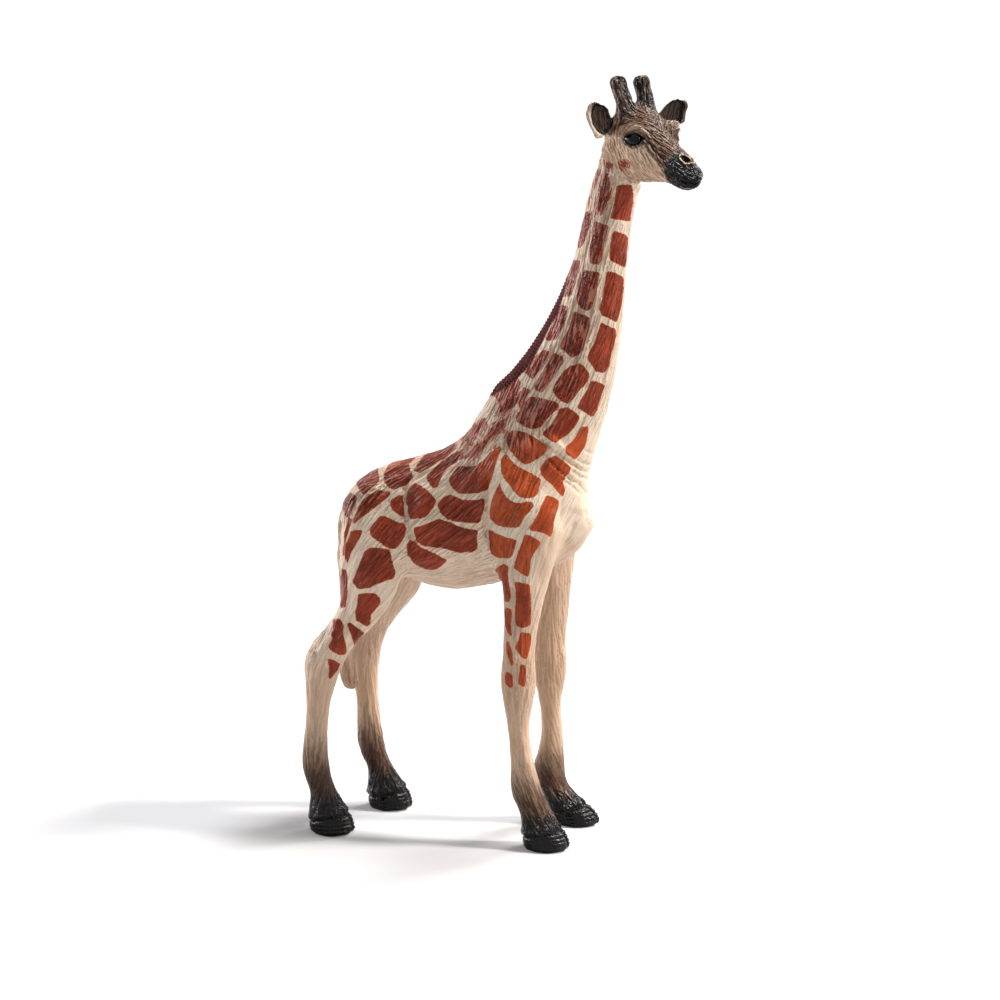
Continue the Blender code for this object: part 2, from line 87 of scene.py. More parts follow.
bpy.ops.object.camera_add(location=Vector(CAMERA_AT) * MM)
camera = bpy.context.active_object
camera.name = "camera"
look = Vector(CAMERA_AIM) - Vector(CAMERA_AT)
camera.rotation_euler = look.to_track_quat("-Z", "Y").to_euler()
camera.data.lens = LENS
camera.data.sensor_width = SENSOR
camera.data.clip_start = CLIP_START
scene.camera = camera

AHEAD = np.array(look.normalized())
RIGHTWARD = np.cross(AHEAD, (0.0, 0.0, 1.0))
RIGHTWARD /= np.linalg.norm(RIGHTWARD)
UPWARD = np.cross(RIGHTWARD, AHEAD)


def in_photo(points):
    """Where points in mm lie in the photograph, in pixels from its upper left corner."""
    away = points - np.array(CAMERA_AT)
    scale = FRAME_PIXELS * LENS / SENSOR / (away @ AHEAD)
    middle = FRAME_PIXELS / 2
    return np.stack([middle + scale * (away @ RIGHTWARD), middle - scale * (away @ UPWARD)], 1)


def rows(text):
    """The numbers of a table. Spaces part its rows, such as the pixels of a line, and commas part the numbers."""
    return np.array([[float(number) for number in row.split(",")] for row in text.split()])


print("one pixel is", round(look.length * SENSOR / LENS / FRAME_PIXELS, 3), "mm at the toy")

# %% [markdown]
# ## The fused skin
# Copies of the twelve CAD pieces are joined, and their triangles paired to quads, so that Subdivision Surface can
# round them. The pieces are glued with gaps of 0.3 mm, so the copies swell a little, a voxel remesh makes one closed
# skin of them, and the skin shrinks back.

# %% Fuse the copies
SWELL = 0.22 * MM
VOXEL = 0.46 * MM
SAME_PLACE = 0.002 * MM
PAIR_ANGLE = math.radians(60)
NODES = sorted(frame["nodes"])
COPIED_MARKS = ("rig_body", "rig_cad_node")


def only(*things):
    """Selects these objects and nothing else, the first of them active."""
    bpy.ops.object.select_all(action="DESELECT")
    for thing in things:
        thing.select_set(True)
    bpy.context.view_layer.objects.active = things[0]


def mode(name):
    bpy.ops.object.mode_set(mode=name)


def finish_with(thing, kind, **settings):
    """Adds a modifier with these settings and applies it."""
    only(thing)
    change = thing.modifiers.new(kind.lower(), kind)
    for setting, value in settings.items():
        setattr(change, setting, value)
    bpy.ops.object.modifier_apply(modifier=change.name)


def copy_of(node):
    copied = frame["nodes"][node].copy()
    copied.data = copied.data.copy()
    copied.parent = None
    for mark in COPIED_MARKS:
        del copied[mark]
    scene.collection.objects.link(copied)
    return copied


def rounded(thing):
    """Merges a copy's loose triangles, pairs them and rounds the result."""
    only(thing)
    mode("EDIT")
    bpy.ops.mesh.select_all(action="SELECT")
    bpy.ops.mesh.remove_doubles(threshold=SAME_PLACE)
    bpy.ops.mesh.tris_convert_to_quads(face_threshold=PAIR_ANGLE, shape_threshold=PAIR_ANGLE)
    mode("OBJECT")
    finish_with(thing, "SUBSURF", levels=2, render_levels=2)
    return thing


copies = [rounded(copy_of(node)) for node in NODES]
face_counts = [len(copied.data.polygons) for copied in copies]
only(*copies)
bpy.ops.object.join()
skin = bpy.context.active_object
skin.name = "skin"
source_tree = BVHTree.FromObject(skin, bpy.context.evaluated_depsgraph_get())
source_owner = np.repeat(np.arange(len(NODES)), face_counts)

finish_with(skin, "DISPLACE", strength=SWELL, mid_level=0.0)
finish_with(skin, "REMESH", mode="VOXEL", voxel_size=VOXEL, adaptivity=0.0)
finish_with(skin, "DISPLACE", strength=-SWELL, mid_level=0.0)
print("fused skin:", len(skin.data.polygons), "faces")

# %% [markdown]
# ## Which piece each face belongs to
# Each face of the skin takes the CAD node that lies nearest, and a vote among neighbours straightens the borders.
# A sculptor works with the points as arrays, because a brush needs a window: a stroke is then a sum over distances.

# %% Owners of the faces
VOTES = 4


def read(items, name, width=1, kind=np.float32):
    """One property of all points, edges, faces or corners of a mesh, as an array."""
    flat = np.empty(len(items) * width, kind)
    items.foreach_get(name, flat)
    return flat.reshape(-1, width) if width > 1 else flat


def points_of(mesh):
    return read(mesh.vertices, "co", 3).astype(float) / MM


def set_points(mesh, points):
    mesh.vertices.foreach_set("co", (points * MM).astype(np.float32).ravel())
    mesh.update()


def normals_of(mesh):
    return read(mesh.vertex_normals, "vector", 3).astype(float)


def pairs_of(mesh):
    """The two points of every edge."""
    return read(mesh.edges, "vertices", 2, np.int32)


def corners_of(mesh):
    """For each face corner: its face, its point and its edge."""
    totals = read(mesh.polygons, "loop_total", kind=np.int32)
    faces = np.repeat(np.arange(len(totals)), totals)
    return faces, read(mesh.loops, "vertex_index", kind=np.int32), read(mesh.loops, "edge_index", kind=np.int32)


def nearest_owner(mesh):
    centres = read(mesh.polygons, "center", 3).tolist()
    return source_owner[np.array([source_tree.find_nearest(centre)[2] for centre in centres])]


def vote(owner, mesh, rounds):
    """Gives each face the owner that most of the faces around its corners have."""
    faces, points, _ = corners_of(mesh)
    for _ in range(rounds):
        best = np.zeros(len(owner))
        winner = owner.copy()
        for number in range(len(NODES)):
            has = (owner == number).astype(float)
            shares = np.bincount(points, has[faces], len(mesh.vertices))
            score = np.bincount(faces, shares[points], len(owner))
            winner[score > best] = number
            best = np.maximum(best, score)
        owner = winner
    return owner


owner = vote(nearest_owner(skin.data), skin.data, VOTES)
print("faces:", {node: int((owner == number).sum()) for number, node in enumerate(NODES)})

# %% [markdown]
# ## Soft joints
# Where two pieces meet, the CAD leaves a step, and the real toy's skin runs on. The points near a border are relaxed
# towards their neighbours, most at the thighs and shoulders, where muscle covers the joint, and hardly at the ears.

# %% Relax the joints
SOFT_REACH = {"hindleg": 4.6, "foreleg": 4.2, "neck": 2.6, "head": 1.3, "tail": 1.2, "ossicone": 0.5, "ear": 0.4}
SOFT_ROUNDS = 70
SOFT_AMOUNT = 0.6
SOFT_ELSEWHERE = 0.02
BORDER_ROUNDS = 8
BORDER_AMOUNT = 0.5
LAST_ROUNDS = 2
LAST_AMOUNT = 0.4


def kind_of(node):
    return node.split("_")[0]


def relax(points, pairs, amount, rounds):
    """Moves each point towards the middle of its neighbours, by its own amount each round."""
    first, second = pairs.T
    total = len(points)
    neighbours = np.bincount(pairs.ravel(), minlength=total)
    amount = np.where(neighbours > 0, amount, 0.0)
    for _ in range(rounds):
        step = np.empty_like(points)
        for axis in range(points.shape[1]):
            along = points[:, axis]
            near = np.bincount(first, along[second], total) + np.bincount(second, along[first], total)
            step[:, axis] = near / np.maximum(neighbours, 1) - along
        points = points + amount[:, None] * step
    return points


def borders(mesh, owner):
    """For each edge whether it lies between two pieces, and the lowest and highest number of its pieces."""
    faces, _, edges = corners_of(mesh)
    low = np.full(len(mesh.edges), len(NODES))
    high = np.full(len(mesh.edges), -1)
    np.minimum.at(low, edges, owner[faces])
    np.maximum.at(high, edges, owner[faces])
    return low != high, low, high


def distance_from(starts, pairs, lengths, furthest):
    """How far each point is from the starting points, along the edges."""
    found = np.where(starts, 0.0, furthest)
    first, second = pairs.T
    for _ in range(int(furthest / lengths.mean()) + 2):
        np.minimum.at(found, first, found[second] + lengths)
        np.minimum.at(found, second, found[first] + lengths)
    return found


place = points_of(skin.data)
pairs = pairs_of(skin.data)
at_border, low, high = borders(skin.data, owner)
place = relax(place, pairs[at_border], BORDER_AMOUNT, BORDER_ROUNDS)
lengths = np.linalg.norm(place[pairs[:, 0]] - place[pairs[:, 1]], axis=1)
amount = np.full(len(place), SOFT_ELSEWHERE)
for kind, reach in SOFT_REACH.items():
    of_kind = np.array([kind_of(node) == kind for node in NODES])
    starts = np.zeros(len(place), bool)
    starts[pairs[at_border & (of_kind[low] | of_kind[high])].ravel()] = True
    away = distance_from(starts, pairs, lengths, 2.5 * reach)
    amount = np.maximum(amount, SOFT_AMOUNT * np.exp(-((away / reach) ** 2)))
place = relax(place, pairs, amount, SOFT_ROUNDS)
place = relax(place, pairs, LAST_AMOUNT, LAST_ROUNDS)
set_points(skin.data, place)
print("joints softened over", int((amount > 0.1).sum()), "points")

# %% [markdown]
# ## Finer skin
# One more level of subdivision gives the body a point each 0.23 mm, fine enough for the grooves of the hair. The
# head, with its small features, is subdivided twice.

# %% Subdivide
FINE_KINDS = ("head", "ear", "ossicone")


def keep(title, values, kind="FLOAT", domain="POINT"):
    """Stores values on the skin as an attribute."""
    layer = skin.data.attributes.new(title, kind, domain)
    layer.data.foreach_set("vector" if kind == "FLOAT_VECTOR" else "value", values.ravel())


def owners_of(mesh):
    return read(mesh.attributes["owner"].data, "value", kind=np.int32)


def kinds_mask(owners, kinds):
    return np.array([kind_of(node) in kinds for node in NODES])[owners]


def select_faces(mesh, chosen):
    mesh.vertices.foreach_set("select", np.zeros(len(mesh.vertices), bool))
    mesh.edges.foreach_set("select", np.zeros(len(mesh.edges), bool))
    mesh.polygons.foreach_set("select", chosen)


keep("owner", owner.astype(np.int32), "INT", "FACE")
finish_with(skin, "SUBSURF", levels=1, render_levels=1)
only(skin)
mode("EDIT")
bpy.ops.mesh.select_mode(type="FACE")
mode("OBJECT")
select_faces(skin.data, kinds_mask(owners_of(skin.data), FINE_KINDS))
mode("EDIT")
bpy.ops.mesh.subdivide(number_cuts=1, smoothness=0.0)
mode("OBJECT")
print("fine skin:", len(skin.data.vertices), "points")

# %% [markdown]
# ## Pulling the outline straight
# Fusing and softening moved the thin parts of the head, the nape and the breast a little. A sculptor pulls such
# places back with a grab brush: all that the camera sees round a pixel moves across its view, most in the middle and
# less further out.

# %% Grab
PIXEL_MM = 0.203
# each row: pixel and radius, then the move to the right and down, all in pixels
GRABS = (
    # the nape, the near ear and the far one
    "601,152,6,-3,0 597,134,6,-0.5,3 592,104,6,-1,-2 676,127,7,0.5,-7 684,102,7,4,2 "
    # the horns
    "618,80,9,-1,-1.3 612,78,4,0,-1.2 641,82,11,-1.7,-0.6 "
    # the far brow, the notch under it, the muzzle's top and lip, and the throat
    "674,127,6,4.6,-0.5 681,145,5,-2.2,0.8 699,163,7,-0.8,0.8 705,176,4,-1.5,0.5 640,186,6,2.5,0 "
    # the breast, the nape and the withers
    "595,520,14,3.4,0 608,151,9,-3.6,0 604,160,7,-2.6,0 604,148,5,-1.6,0 503,384,20,-3.8,-0.6 482,420,13,-3.2,0"
)


def pulled(spots, x, y, radius, right, down):
    """The step in mm that a grab at a pixel gives to each spot."""
    away = np.linalg.norm(spots - (x, y), axis=1)
    share = PIXEL_MM * np.exp(-((away / radius) ** 2))
    return share[:, None] * (right * RIGHTWARD - down * UPWARD)


place = points_of(skin.data)
for row in rows(GRABS):
    place = place + pulled(in_photo(place), *row)
set_points(skin.data, place)
print("grabbed", len(rows(GRABS)), "places of the outline")

# %% [markdown]
# ## Twins
# The photograph shows the toy's right. Every point of the left side is looked up at its twin on the right: across
# the body's middle plane, or across the turned head's own plane, and on a leg with the longer stride taken off. So
# what is named once by its pixels shapes and paints both sides alike.

# %% Twins
MIDDLE_Y = 1.25
HEAD_ORIGIN = np.array((23.58, 1.25, 138.3))
HEAD_TURN = math.radians(-40)
HEAD_LEFT = np.array((-math.sin(HEAD_TURN), math.cos(HEAD_TURN), 0.0))
BODY_ORIGIN = np.array((0.0, MIDDLE_Y, 0.0))
BODY_LEFT = np.array((0.0, 1.0, 0.0))
STRIDE_LEVELS = np.arange(0.5, 60.0, 3.0)
STRIDE_TOP = 75.0
STRIDE_FADE = 15.0
LEGS = ("foreleg", "hindleg")

place = points_of(skin.data)
normal = normals_of(skin.data)
pairs = pairs_of(skin.data)
corner_face, corner_point, _ = corners_of(skin.data)
owner = owners_of(skin.data)
point_owner = np.zeros(len(place), int)
point_owner[corner_point] = owner[corner_face]


def of_kinds(*kinds):
    return kinds_mask(point_owner, kinds)


def across(points, left, origin):
    """Points mirrored in the plane through origin that is square to left."""
    return points - 2 * ((points - origin) @ left)[:, None] * left


in_head = of_kinds(*FINE_KINDS)
on_leg = of_kinds(*LEGS)
on_left_leg = on_leg & np.char.endswith(np.array(NODES)[point_owner], "_left")
left_head = in_head & ((place - HEAD_ORIGIN) @ HEAD_LEFT > 0)
left_body = (of_kinds("torso", "neck", "tail") & (place[:, 1] > MIDDLE_Y)) | on_left_leg


def turned(ways):
    """Directions in which those of the left side are mirrored, to the right side or back."""
    found = ways.copy()
    found[left_head] = across(ways[left_head], HEAD_LEFT, np.zeros(3))
    found[left_body] = across(ways[left_body], BODY_LEFT, np.zeros(3))
    return found


twin = place.copy()
twin[left_head] = across(place[left_head], HEAD_LEFT, HEAD_ORIGIN)
twin[left_body] = across(place[left_body], BODY_LEFT, BODY_ORIGIN)
twin_normal = turned(normal)


def middle_x(chosen, level):
    near = chosen & (np.abs(place[:, 2] - level) < 1.5)
    return (place[near, 0].min() + place[near, 0].max()) / 2


for kind in LEGS:
    left = of_kinds(kind) & on_left_leg
    right = of_kinds(kind) & ~on_left_leg
    stride = [middle_x(left, level) - middle_x(right, level) for level in STRIDE_LEVELS]
    fade = np.clip((STRIDE_TOP - place[left, 2]) / STRIDE_FADE, 0, 1)
    twin[left, 0] -= fade * np.interp(place[left, 2], STRIDE_LEVELS, stride)

spot = in_photo(twin)
facing = -twin_normal @ AHEAD
print("twins:", int(left_head.sum() + left_body.sum()), "points of", len(place))

# %% [markdown]
# ## Room for the tail
# The photograph shows the tail hanging beside the back edge of the near thigh. The thigh and its twin are pulled
# forward there, so that the tail comes out from behind them, and the tail's end is brought forward to where it shows.

# %% Nudge
MIDDLE_GAP = 1.5
EASE_ABOVE = 40
# each row as in the grabs
NUDGES = {
    ("hindleg", "torso"): "338,526,8,3.4,0 337,541,8,3.4,0 338,555,7,2.4,0 343,510,6,1.8,0",
    ("tail",): "352,684,8,5,0 351,668,6,2,0",
}
for kinds, table in NUDGES.items():
    for row in rows(table):
        free = of_kinds(*kinds) & ((np.abs(place[:, 1] - MIDDLE_Y) > MIDDLE_GAP) | of_kinds("tail"))
        place = place + turned(pulled(spot, *row) * free[:, None])
place = relax(place, pairs, 0.5 * of_kinds("hindleg") * (place[:, 2] > EASE_ABOVE), 2)
set_points(skin.data, place)
print("nudged", " and ".join(" with ".join(kinds) for kinds in NUDGES))

# %% [markdown]
# ## Brushes
# A stroke swells or sinks the skin along a line, with a soft edge. Lines are in pixels and depths in mm, below nought
# for a crease. A patch of the coat gives each point its distance to the patch's edge.

# %% Brushes
def soft_step(values, low, high):
    share = np.clip((values - low) / (high - low), 0, 1)
    return share * share * (3 - 2 * share)


def hump(values, middle, width):
    """1 where values are at the middle, and softly less on both sides."""
    return np.exp(-(((values - middle) / width) ** 2))


def along_line(line, spots):
    """The distance of each spot to the line, and the share of the line's length where it is nearest."""
    steps = np.linalg.norm(np.diff(line, axis=0), axis=1)
    passed = np.concatenate([[0], np.cumsum(steps)])
    best = np.full(len(spots), np.inf)
    share = np.zeros(len(spots))
    for start, end, before, step in zip(line, line[1:], passed, steps):
        part = np.clip((spots - start) @ (end - start) / step**2, 0, 1)
        away = np.linalg.norm(spots - start - part[:, None] * (end - start), axis=1)
        nearer = away < best
        best[nearer] = away[nearer]
        share[nearer] = ((before + part * step) / passed[-1])[nearer]
    return best, share


def close_to(corners, reach, kinds):
    """The points of these kinds whose spots lie in the box round the corners."""
    near = ((spot > corners.min(0) - reach) & (spot < corners.max(0) + reach)).all(1)
    return np.flatnonzero(near & of_kinds(*kinds))


def stroke(text, width, depth, kinds, ends=0.2):
    """A soft crease or ridge along a line, on pieces of these kinds, fading over a share of its length at each end."""
    line = rows(text)
    near = close_to(line, 3 * width, kinds)
    away, share = along_line(line, spot[near])
    faded = np.clip(np.minimum(share, 1 - share) / ends, 0, 1)
    made = np.zeros(len(place))
    made[near] = depth * np.exp(-((away / width) ** 2)) * faded * soft_step(facing[near], -0.1, 0.25)
    return made


def inside(outline, reach, kinds):
    """For each point how far inside a closed outline it lies, in pixels, and below nought outside."""
    found = np.full(len(place), -reach)
    near = close_to(outline, reach, kinds)
    here = spot[near]
    away, _ = along_line(np.vstack([outline, outline[:1]]), here)
    within = np.zeros(len(here), bool)
    for start, end in zip(outline, np.roll(outline, -1, axis=0)):
        crosses = (start[1] > here[:, 1]) != (end[1] > here[:, 1])
        rise = np.where(end[1] == start[1], 1.0, end[1] - start[1])
        meets = start[0] + (here[:, 1] - start[1]) * (end[0] - start[0]) / rise
        within ^= crosses & (here[:, 0] < meets)
    found[near] = np.maximum(np.where(within, away, -away), -reach)
    return found

# %% [markdown]
# ## Body forms
# These are the folds and muscles of trunk and legs: the flank's crease before the thigh, the one behind the
# shoulder, the skin folds where the neck meets the chest, the knees and the tendons. Each row of the table is a
# line of pixels, the stroke's width in pixels and its depth in mm.

# %% Body strokes
TRUNK = ("torso", "neck", "foreleg", "hindleg")
NECK, FORELEG, HINDLEG = ("neck",), ("foreleg",), ("hindleg",)
BODY_STROKES = (
    # the flank's crease and the swelling on each side of it
    ("409,478 405,488 403,498 403.5,508 406,520 408.5,534 409,550", 3.0, -0.85, TRUNK),
    ("424,482 421,500 423,518", 11, 0.4, TRUNK),
    ("390,500 395,522 397,545", 7, 0.4, TRUNK),
    # the crease behind the shoulder, and the shoulder's own muscles
    ("486,472 485.5,485 485,500 485.5,518 487,534 491,552", 2.6, -0.75, TRUNK),
    ("495,480 495,505 498,530 504,556", 6.5, 0.42, TRUNK),
    ("476,480 474,510 477,540", 9, 0.2, TRUNK),
    ("546,486 553,508 546,532", 16, 0.34, TRUNK),
    ("562,498 559,516 552,536 545,556", 3.0, -0.3, TRUNK),
    ("577,488 581,500 578,514", 8, 0.35, TRUNK),
    ("520,440 540,452 552,468", 9, 0.25, TRUNK),
    ("499,400 503,430 502,462 498,482", 4.5, -0.25, TRUNK),
    # the folds at the foot of the neck
    ("536,437 548,446 560,455.5 572,464 583,471 590,474", 1.9, -0.75, TRUNK),
    ("541,433 556,441.5 568,453.5 577,461", 3.0, 0.5, TRUNK),
    ("540,443 552,450 564,460 580,473", 1.8, 0.32, TRUNK),
    ("534,449 546,455 556,467 570,479 584,487", 1.9, -0.62, TRUNK),
    ("572,470 580,476 590,480", 1.5, -0.42, TRUNK),
    ("574,457 583,463 593,466", 1.5, -0.36, TRUNK),
    ("583,449 590,453 596,454", 1.5, -0.28, TRUNK),
    ("560,478 572,486 582,496", 1.6, -0.35, TRUNK),
    ("578,484 585,492 592,497", 1.5, -0.35, TRUNK),
    ("584,508 587,516 586,526", 1.6, -0.22, TRUNK),
    ("590,505 590,518 587,530", 1.4, -0.18, TRUNK),
    ("576,520 570,534 562,548", 2.2, -0.25, TRUNK),
    # the jaw's shadow side of the neck, and the windpipe
    ("634,196 626,240 620,290 610,350 598,410", 3.0, -0.2, NECK),
    ("600,170 594,200 583,250 566,300 545,350", 4.0, -0.16, NECK),
    # the hip's bone, and the line down the back of the thigh
    ("352,486 366,482 385,478 402,474", 9, 0.18, TRUNK),
    ("372,496 362,520 352,548 347,575", 4.5, -0.25, TRUNK),
    ("346,500 343,530 344,560", 4, 0.2, TRUNK),
    ("352,585 346,612 334,640 322,652", 3.0, -0.28, LEGS),
    ("372,590 364,618 350,640 340,660", 3.0, -0.22, LEGS),
    ("313,652 308,662 307,674", 4.5, 0.25, LEGS),
    # the tendons of the shanks
    ("333,620 326,630 318,640 310,652", 5.0, -0.55, HINDLEG),
    ("322,619 313,632 305,646", 5.0, 0.3, HINDLEG),
    ("318,672 314,700 313,735 312,768", 2.0, -0.28, HINDLEG),
    ("325,680 321,710 320,745 322,775", 2.5, 0.16, HINDLEG),
    ("312,782 318,790 326,793", 2.0, -0.2, HINDLEG),
    ("499,655 496,680 499,700", 6.0, 0.2, FORELEG),
    ("512,690 515,715 518,745 522,775", 2.0, -0.28, FORELEG),
    ("523,700 524,730 528,765 534,790", 2.5, 0.18, FORELEG),
    ("518,798 526,806 536,808", 2.0, -0.2, FORELEG),
    # the knee and the forearm's muscles
    ("508,656 518,660 530,657", 3.0, 0.2, FORELEG),
    ("508,684 519,688 531,684", 2.6, -0.22, FORELEG),
    ("513,575 514,600 513,640", 3.0, -0.22, FORELEG),
    ("527,570 527,600 524,635", 6.0, 0.22, FORELEG),
    ("503,575 508,566 518,562", 2.6, -0.2, TRUNK),
)

lift = np.zeros(len(place))
for line, width, depth, kinds in BODY_STROKES:
    lift += stroke(line, width, depth, kinds)
print("body strokes from", round(lift.min(), 2), "to", round(lift.max(), 2), "mm")

# %% [markdown]
# ## The face
# The head is small, so its strokes are narrow. The brow hangs over an almond of skin that sinks behind the eyeball,
# a ridge runs from the eye to the muzzle, the nostril is a pit with a raised rim, and the mouth is a fine groove.

# %% Face strokes
FACE = ("head",)
HEAD_AND_NECK = ("head", "neck")
FACE_STROKES = (
    # the jaw, which stands out from the throat
    ("614,160 616.5,170 623,178 632,182.5 641,184", 2.0, -0.38, HEAD_AND_NECK),
    ("618,152 618,162 622,171 631,177", 3.5, 0.22, FACE),
    # the brow, the upper lid and the lower lid
    ("619,130 625,126.5 634,125.5 643,130 650,138 652,145", 1.9, 0.42, FACE),
    ("622,136 627,131 634,129.6 642,132.5 648,138.5", 1.0, -0.22, FACE),
    ("623,138 629,134.2 635,133 640,134.5 645.5,138.5", 0.9, 0.24, FACE),
    ("624,140 628,144.5 633,147 638,145 645,140", 1.1, 0.2, FACE),
    ("622,146 630,151 640,149 647,145", 1.6, -0.12, FACE),
    ("645,139 650,144 654,152", 1.3, -0.2, FACE),
    # the cheek's ridge and the hollow before it
    ("647,144 653,152 662,161 669,167", 1.8, 0.2, FACE),
    ("643,152 652,160 662,169", 2.2, -0.18, FACE),
    ("651,166 658,171 665,178", 1.2, -0.14, FACE),
    ("656,163 663,169 669,177", 1.2, -0.14, FACE),
    # forehead and bridge
    ("652,112 660,122 668,135 676,148", 2.0, 0.18, FACE),
    ("640,112 648,120 656,132 664,146", 1.5, -0.16, FACE),
    # the far brow's bulge and the cheekbone
    ("645,126 652,131 657,139", 2.6, 0.2, FACE),
    ("650,146 657,154 665,161", 1.2, -0.2, FACE),
    # muzzle: the rim of the nostril, the lips and the corner of the mouth
    ("678.6,156.5 680,161 684,164.3 689,164.8 691.5,161", 1.1, 0.36, FACE),
    ("678.6,155.5 683.5,153.2 689,155.6 692,160.5", 1.1, 0.36, FACE),
    ("670,173.5 674,177.5 680,181 687,183 695,184.3 703,184.6", 0.9, -0.42, FACE),
    ("674,173 682,177 691,179 700,179", 1.8, 0.2, FACE),
    ("676,183.5 684,187 694,187.5", 1.6, 0.18, FACE),
    ("694,166 699,172 701.5,178", 1.6, 0.2, FACE),
    ("676,166 684,170 692,171", 1.4, -0.16, FACE),
)
EYE_ALMOND = rows(
    "624,138.4 628.5,135.2 633.5,134 638.5,135 642,137 644.6,138.4 641,141.3 638,143.8 633.5,145.4 629,143.4"
)
NOSTRIL = rows("680.6,156.2 683.6,155.4 687,158 689,161.4 688.3,163.2 685,163 682,160.4")
EAR_BOWL = rows(
    "594.5,103.3 600,102.2 606,104.5 611,110 615,118 613,127 607,135 602.5,136 596.5,131.5 592.3,125 590.3,116 "
    "591.3,108.5"
)
BOWL_REACH = 6.0
EYE_SINK = 0.55
NOSTRIL_SINK = 0.8
BOWL_SINK = 0.75
BOWL_RIM = 0.14

for line, width, depth, kinds in FACE_STROKES:
    lift += stroke(line, width, depth, kinds, ends=0.12)
in_almond = inside(EYE_ALMOND, 4.0, FACE)
in_nostril = inside(NOSTRIL, 4.0, FACE)
in_bowl = np.where(facing > 0.1, inside(EAR_BOWL, BOWL_REACH, ("ear", "head")), -BOWL_REACH)
lift -= EYE_SINK * soft_step(in_almond, -0.5, 0.6) * (facing > 0)
lift -= NOSTRIL_SINK * soft_step(in_nostril, -0.3, 1.5) * (facing > 0)
lift -= BOWL_SINK * soft_step(in_bowl, -0.4, 5.0) * of_kinds("ear")
lift += BOWL_RIM * hump(in_bowl, -1.6, 1.3) * of_kinds("ear")
print("face strokes from", round(lift[in_head].min(), 2), "to", round(lift[in_head].max(), 2), "mm")

# %% [markdown]
# ## Hooves
# Each foot is cloven. A slot parts its two toes from in front, the wall of the hoof carries growth rings, and a
# ridge of hair hangs over its upper edge, which rises from the heel to the toe.

# %% Hooves
HEEL_EDGE = 2.4
TOE_EDGE = 4.4
SLOT_WIDTH = 0.42
SLOT_DEPTH = 1.0
SLOT_TOP = 6.0
RING_STEP = 0.8
RING_DEPTH = 0.1
HOOF_SWELL = 0.1
FRINGE_SWELL = 0.24
EDGE_SINK = 0.28
FAR_OFF = 99.0

hoof_edge = np.full(len(place), -1.0)
toe_share = np.zeros(len(place))
slot_side = np.full(len(place), 9.0)
for number, node in enumerate(NODES):
    if kind_of(node) not in LEGS:
        continue
    mine = point_owner == number
    foot = mine & (place[:, 2] < 2.0)
    heel, toe = place[foot, 0].min(), place[foot, 0].max()
    centre = (place[foot, 1].min() + place[foot, 1].max()) / 2
    toe_share[mine] = (place[mine, 0] - heel) / (toe - heel)
    hoof_edge[mine] = HEEL_EDGE + (TOE_EDGE - HEEL_EDGE) * np.clip(toe_share[mine], 0, 1)
    slot_side[mine] = place[mine, 1] - centre
height = place[:, 2]
on_hoof = soft_step(hoof_edge - height, -0.15, 0.25)
ahead_share = soft_step(toe_share, 0.5, 0.72) * soft_step(height, -0.5, 0.6)
slot = np.exp(-((slot_side / SLOT_WIDTH) ** 2)) * ahead_share * soft_step(SLOT_TOP - height, 0, 2.2)
lift -= SLOT_DEPTH * slot
wave = np.sin(2 * math.pi * (height - 0.18 * hoof_edge) / RING_STEP)
ring = RING_DEPTH * wave * on_hoof * soft_step(height, 0.4, 0.9) * (0.35 + 0.65 * np.clip(toe_share, 0, 1))
brink = np.where(hoof_edge > 0, height - hoof_edge, FAR_OFF)
lift += HOOF_SWELL * on_hoof + FRINGE_SWELL * hump(brink, 0.95, 0.7) - EDGE_SINK * hump(brink, 0.1, 0.35)
print("points on hooves:", int((on_hoof > 0.5).sum()))

place = place + lift[:, None] * normal
eased = np.where(of_kinds("head"), 0.15, 0.3)
place = relax(place, pairs, eased, 1)
set_points(skin.data, place)
normal = normals_of(skin.data)

# %% [markdown]
# ## Combed hair
# The whole toy is grooved with moulded hair. Noise on the points is smeared along the way the hair lies, which a
# table of places and angles gives, and the streaks that come of it lift and sink the skin by some hundredths of a
# millimetre. So the grooves follow the body round, as a comb in clay would.

# %% Hair
# each row: a pixel, then the angle of the hair there in degrees up from the right
HAIR = """
612,180,74 600,255,75 615,300,80 582,335,72 560,290,64 545,345,58 545,405,62 600,380,72 572,430,60 590,430,68
490,410,56 470,435,50 530,445,95 505,465,56 530,485,70 505,512,56 470,480,48 455,512,45 440,535,38 470,542,38
420,500,48 400,470,32 370,478,38 430,460,28 455,572,26 485,565,34 420,577,30 355,500,52 375,530,50 385,560,48
360,600,56 345,560,62 345,520,66 338,638,52 318,660,70 315,700,88 312,750,88 320,790,70 330,815,95 372,620,52
514,590,88 520,650,88 517,700,93 520,750,98 528,790,112 535,812,118 498,545,76 530,560,82 560,540,58 577,510,60
588,480,55 560,480,52 345,640,85 346,676,92
"""
HEAD_HAIR = """
615,150,82 624,158,92 634,163,100 645,168,112 655,172,130 632,176,110 650,158,118 660,165,130 616,128,70 626,128,20
638,127,165 640,115,150 650,118,145 656,130,132 665,140,130 672,150,128 684,152,125 696,168,115 680,172,150
690,180,160 632,110,120 600,120,118 590,115,100 606,108,120 622,88,107 642,88,98 626,104,110 646,104,100
"""
HAIR_DEPTH = {"torso": 0.062, "neck": 0.066, "foreleg": 0.042, "hindleg": 0.045, "tail": 0.12,
              "head": 0.05, "ear": 0.025, "ossicone": 0.06}
HAIR_RANGE = 2.2
HAIR_SHARE = 0.75
COMB_SHARPNESS = 14
COMB_ROUNDS = 16
COMB_OWN = 0.15
HAIR_SEED = 11


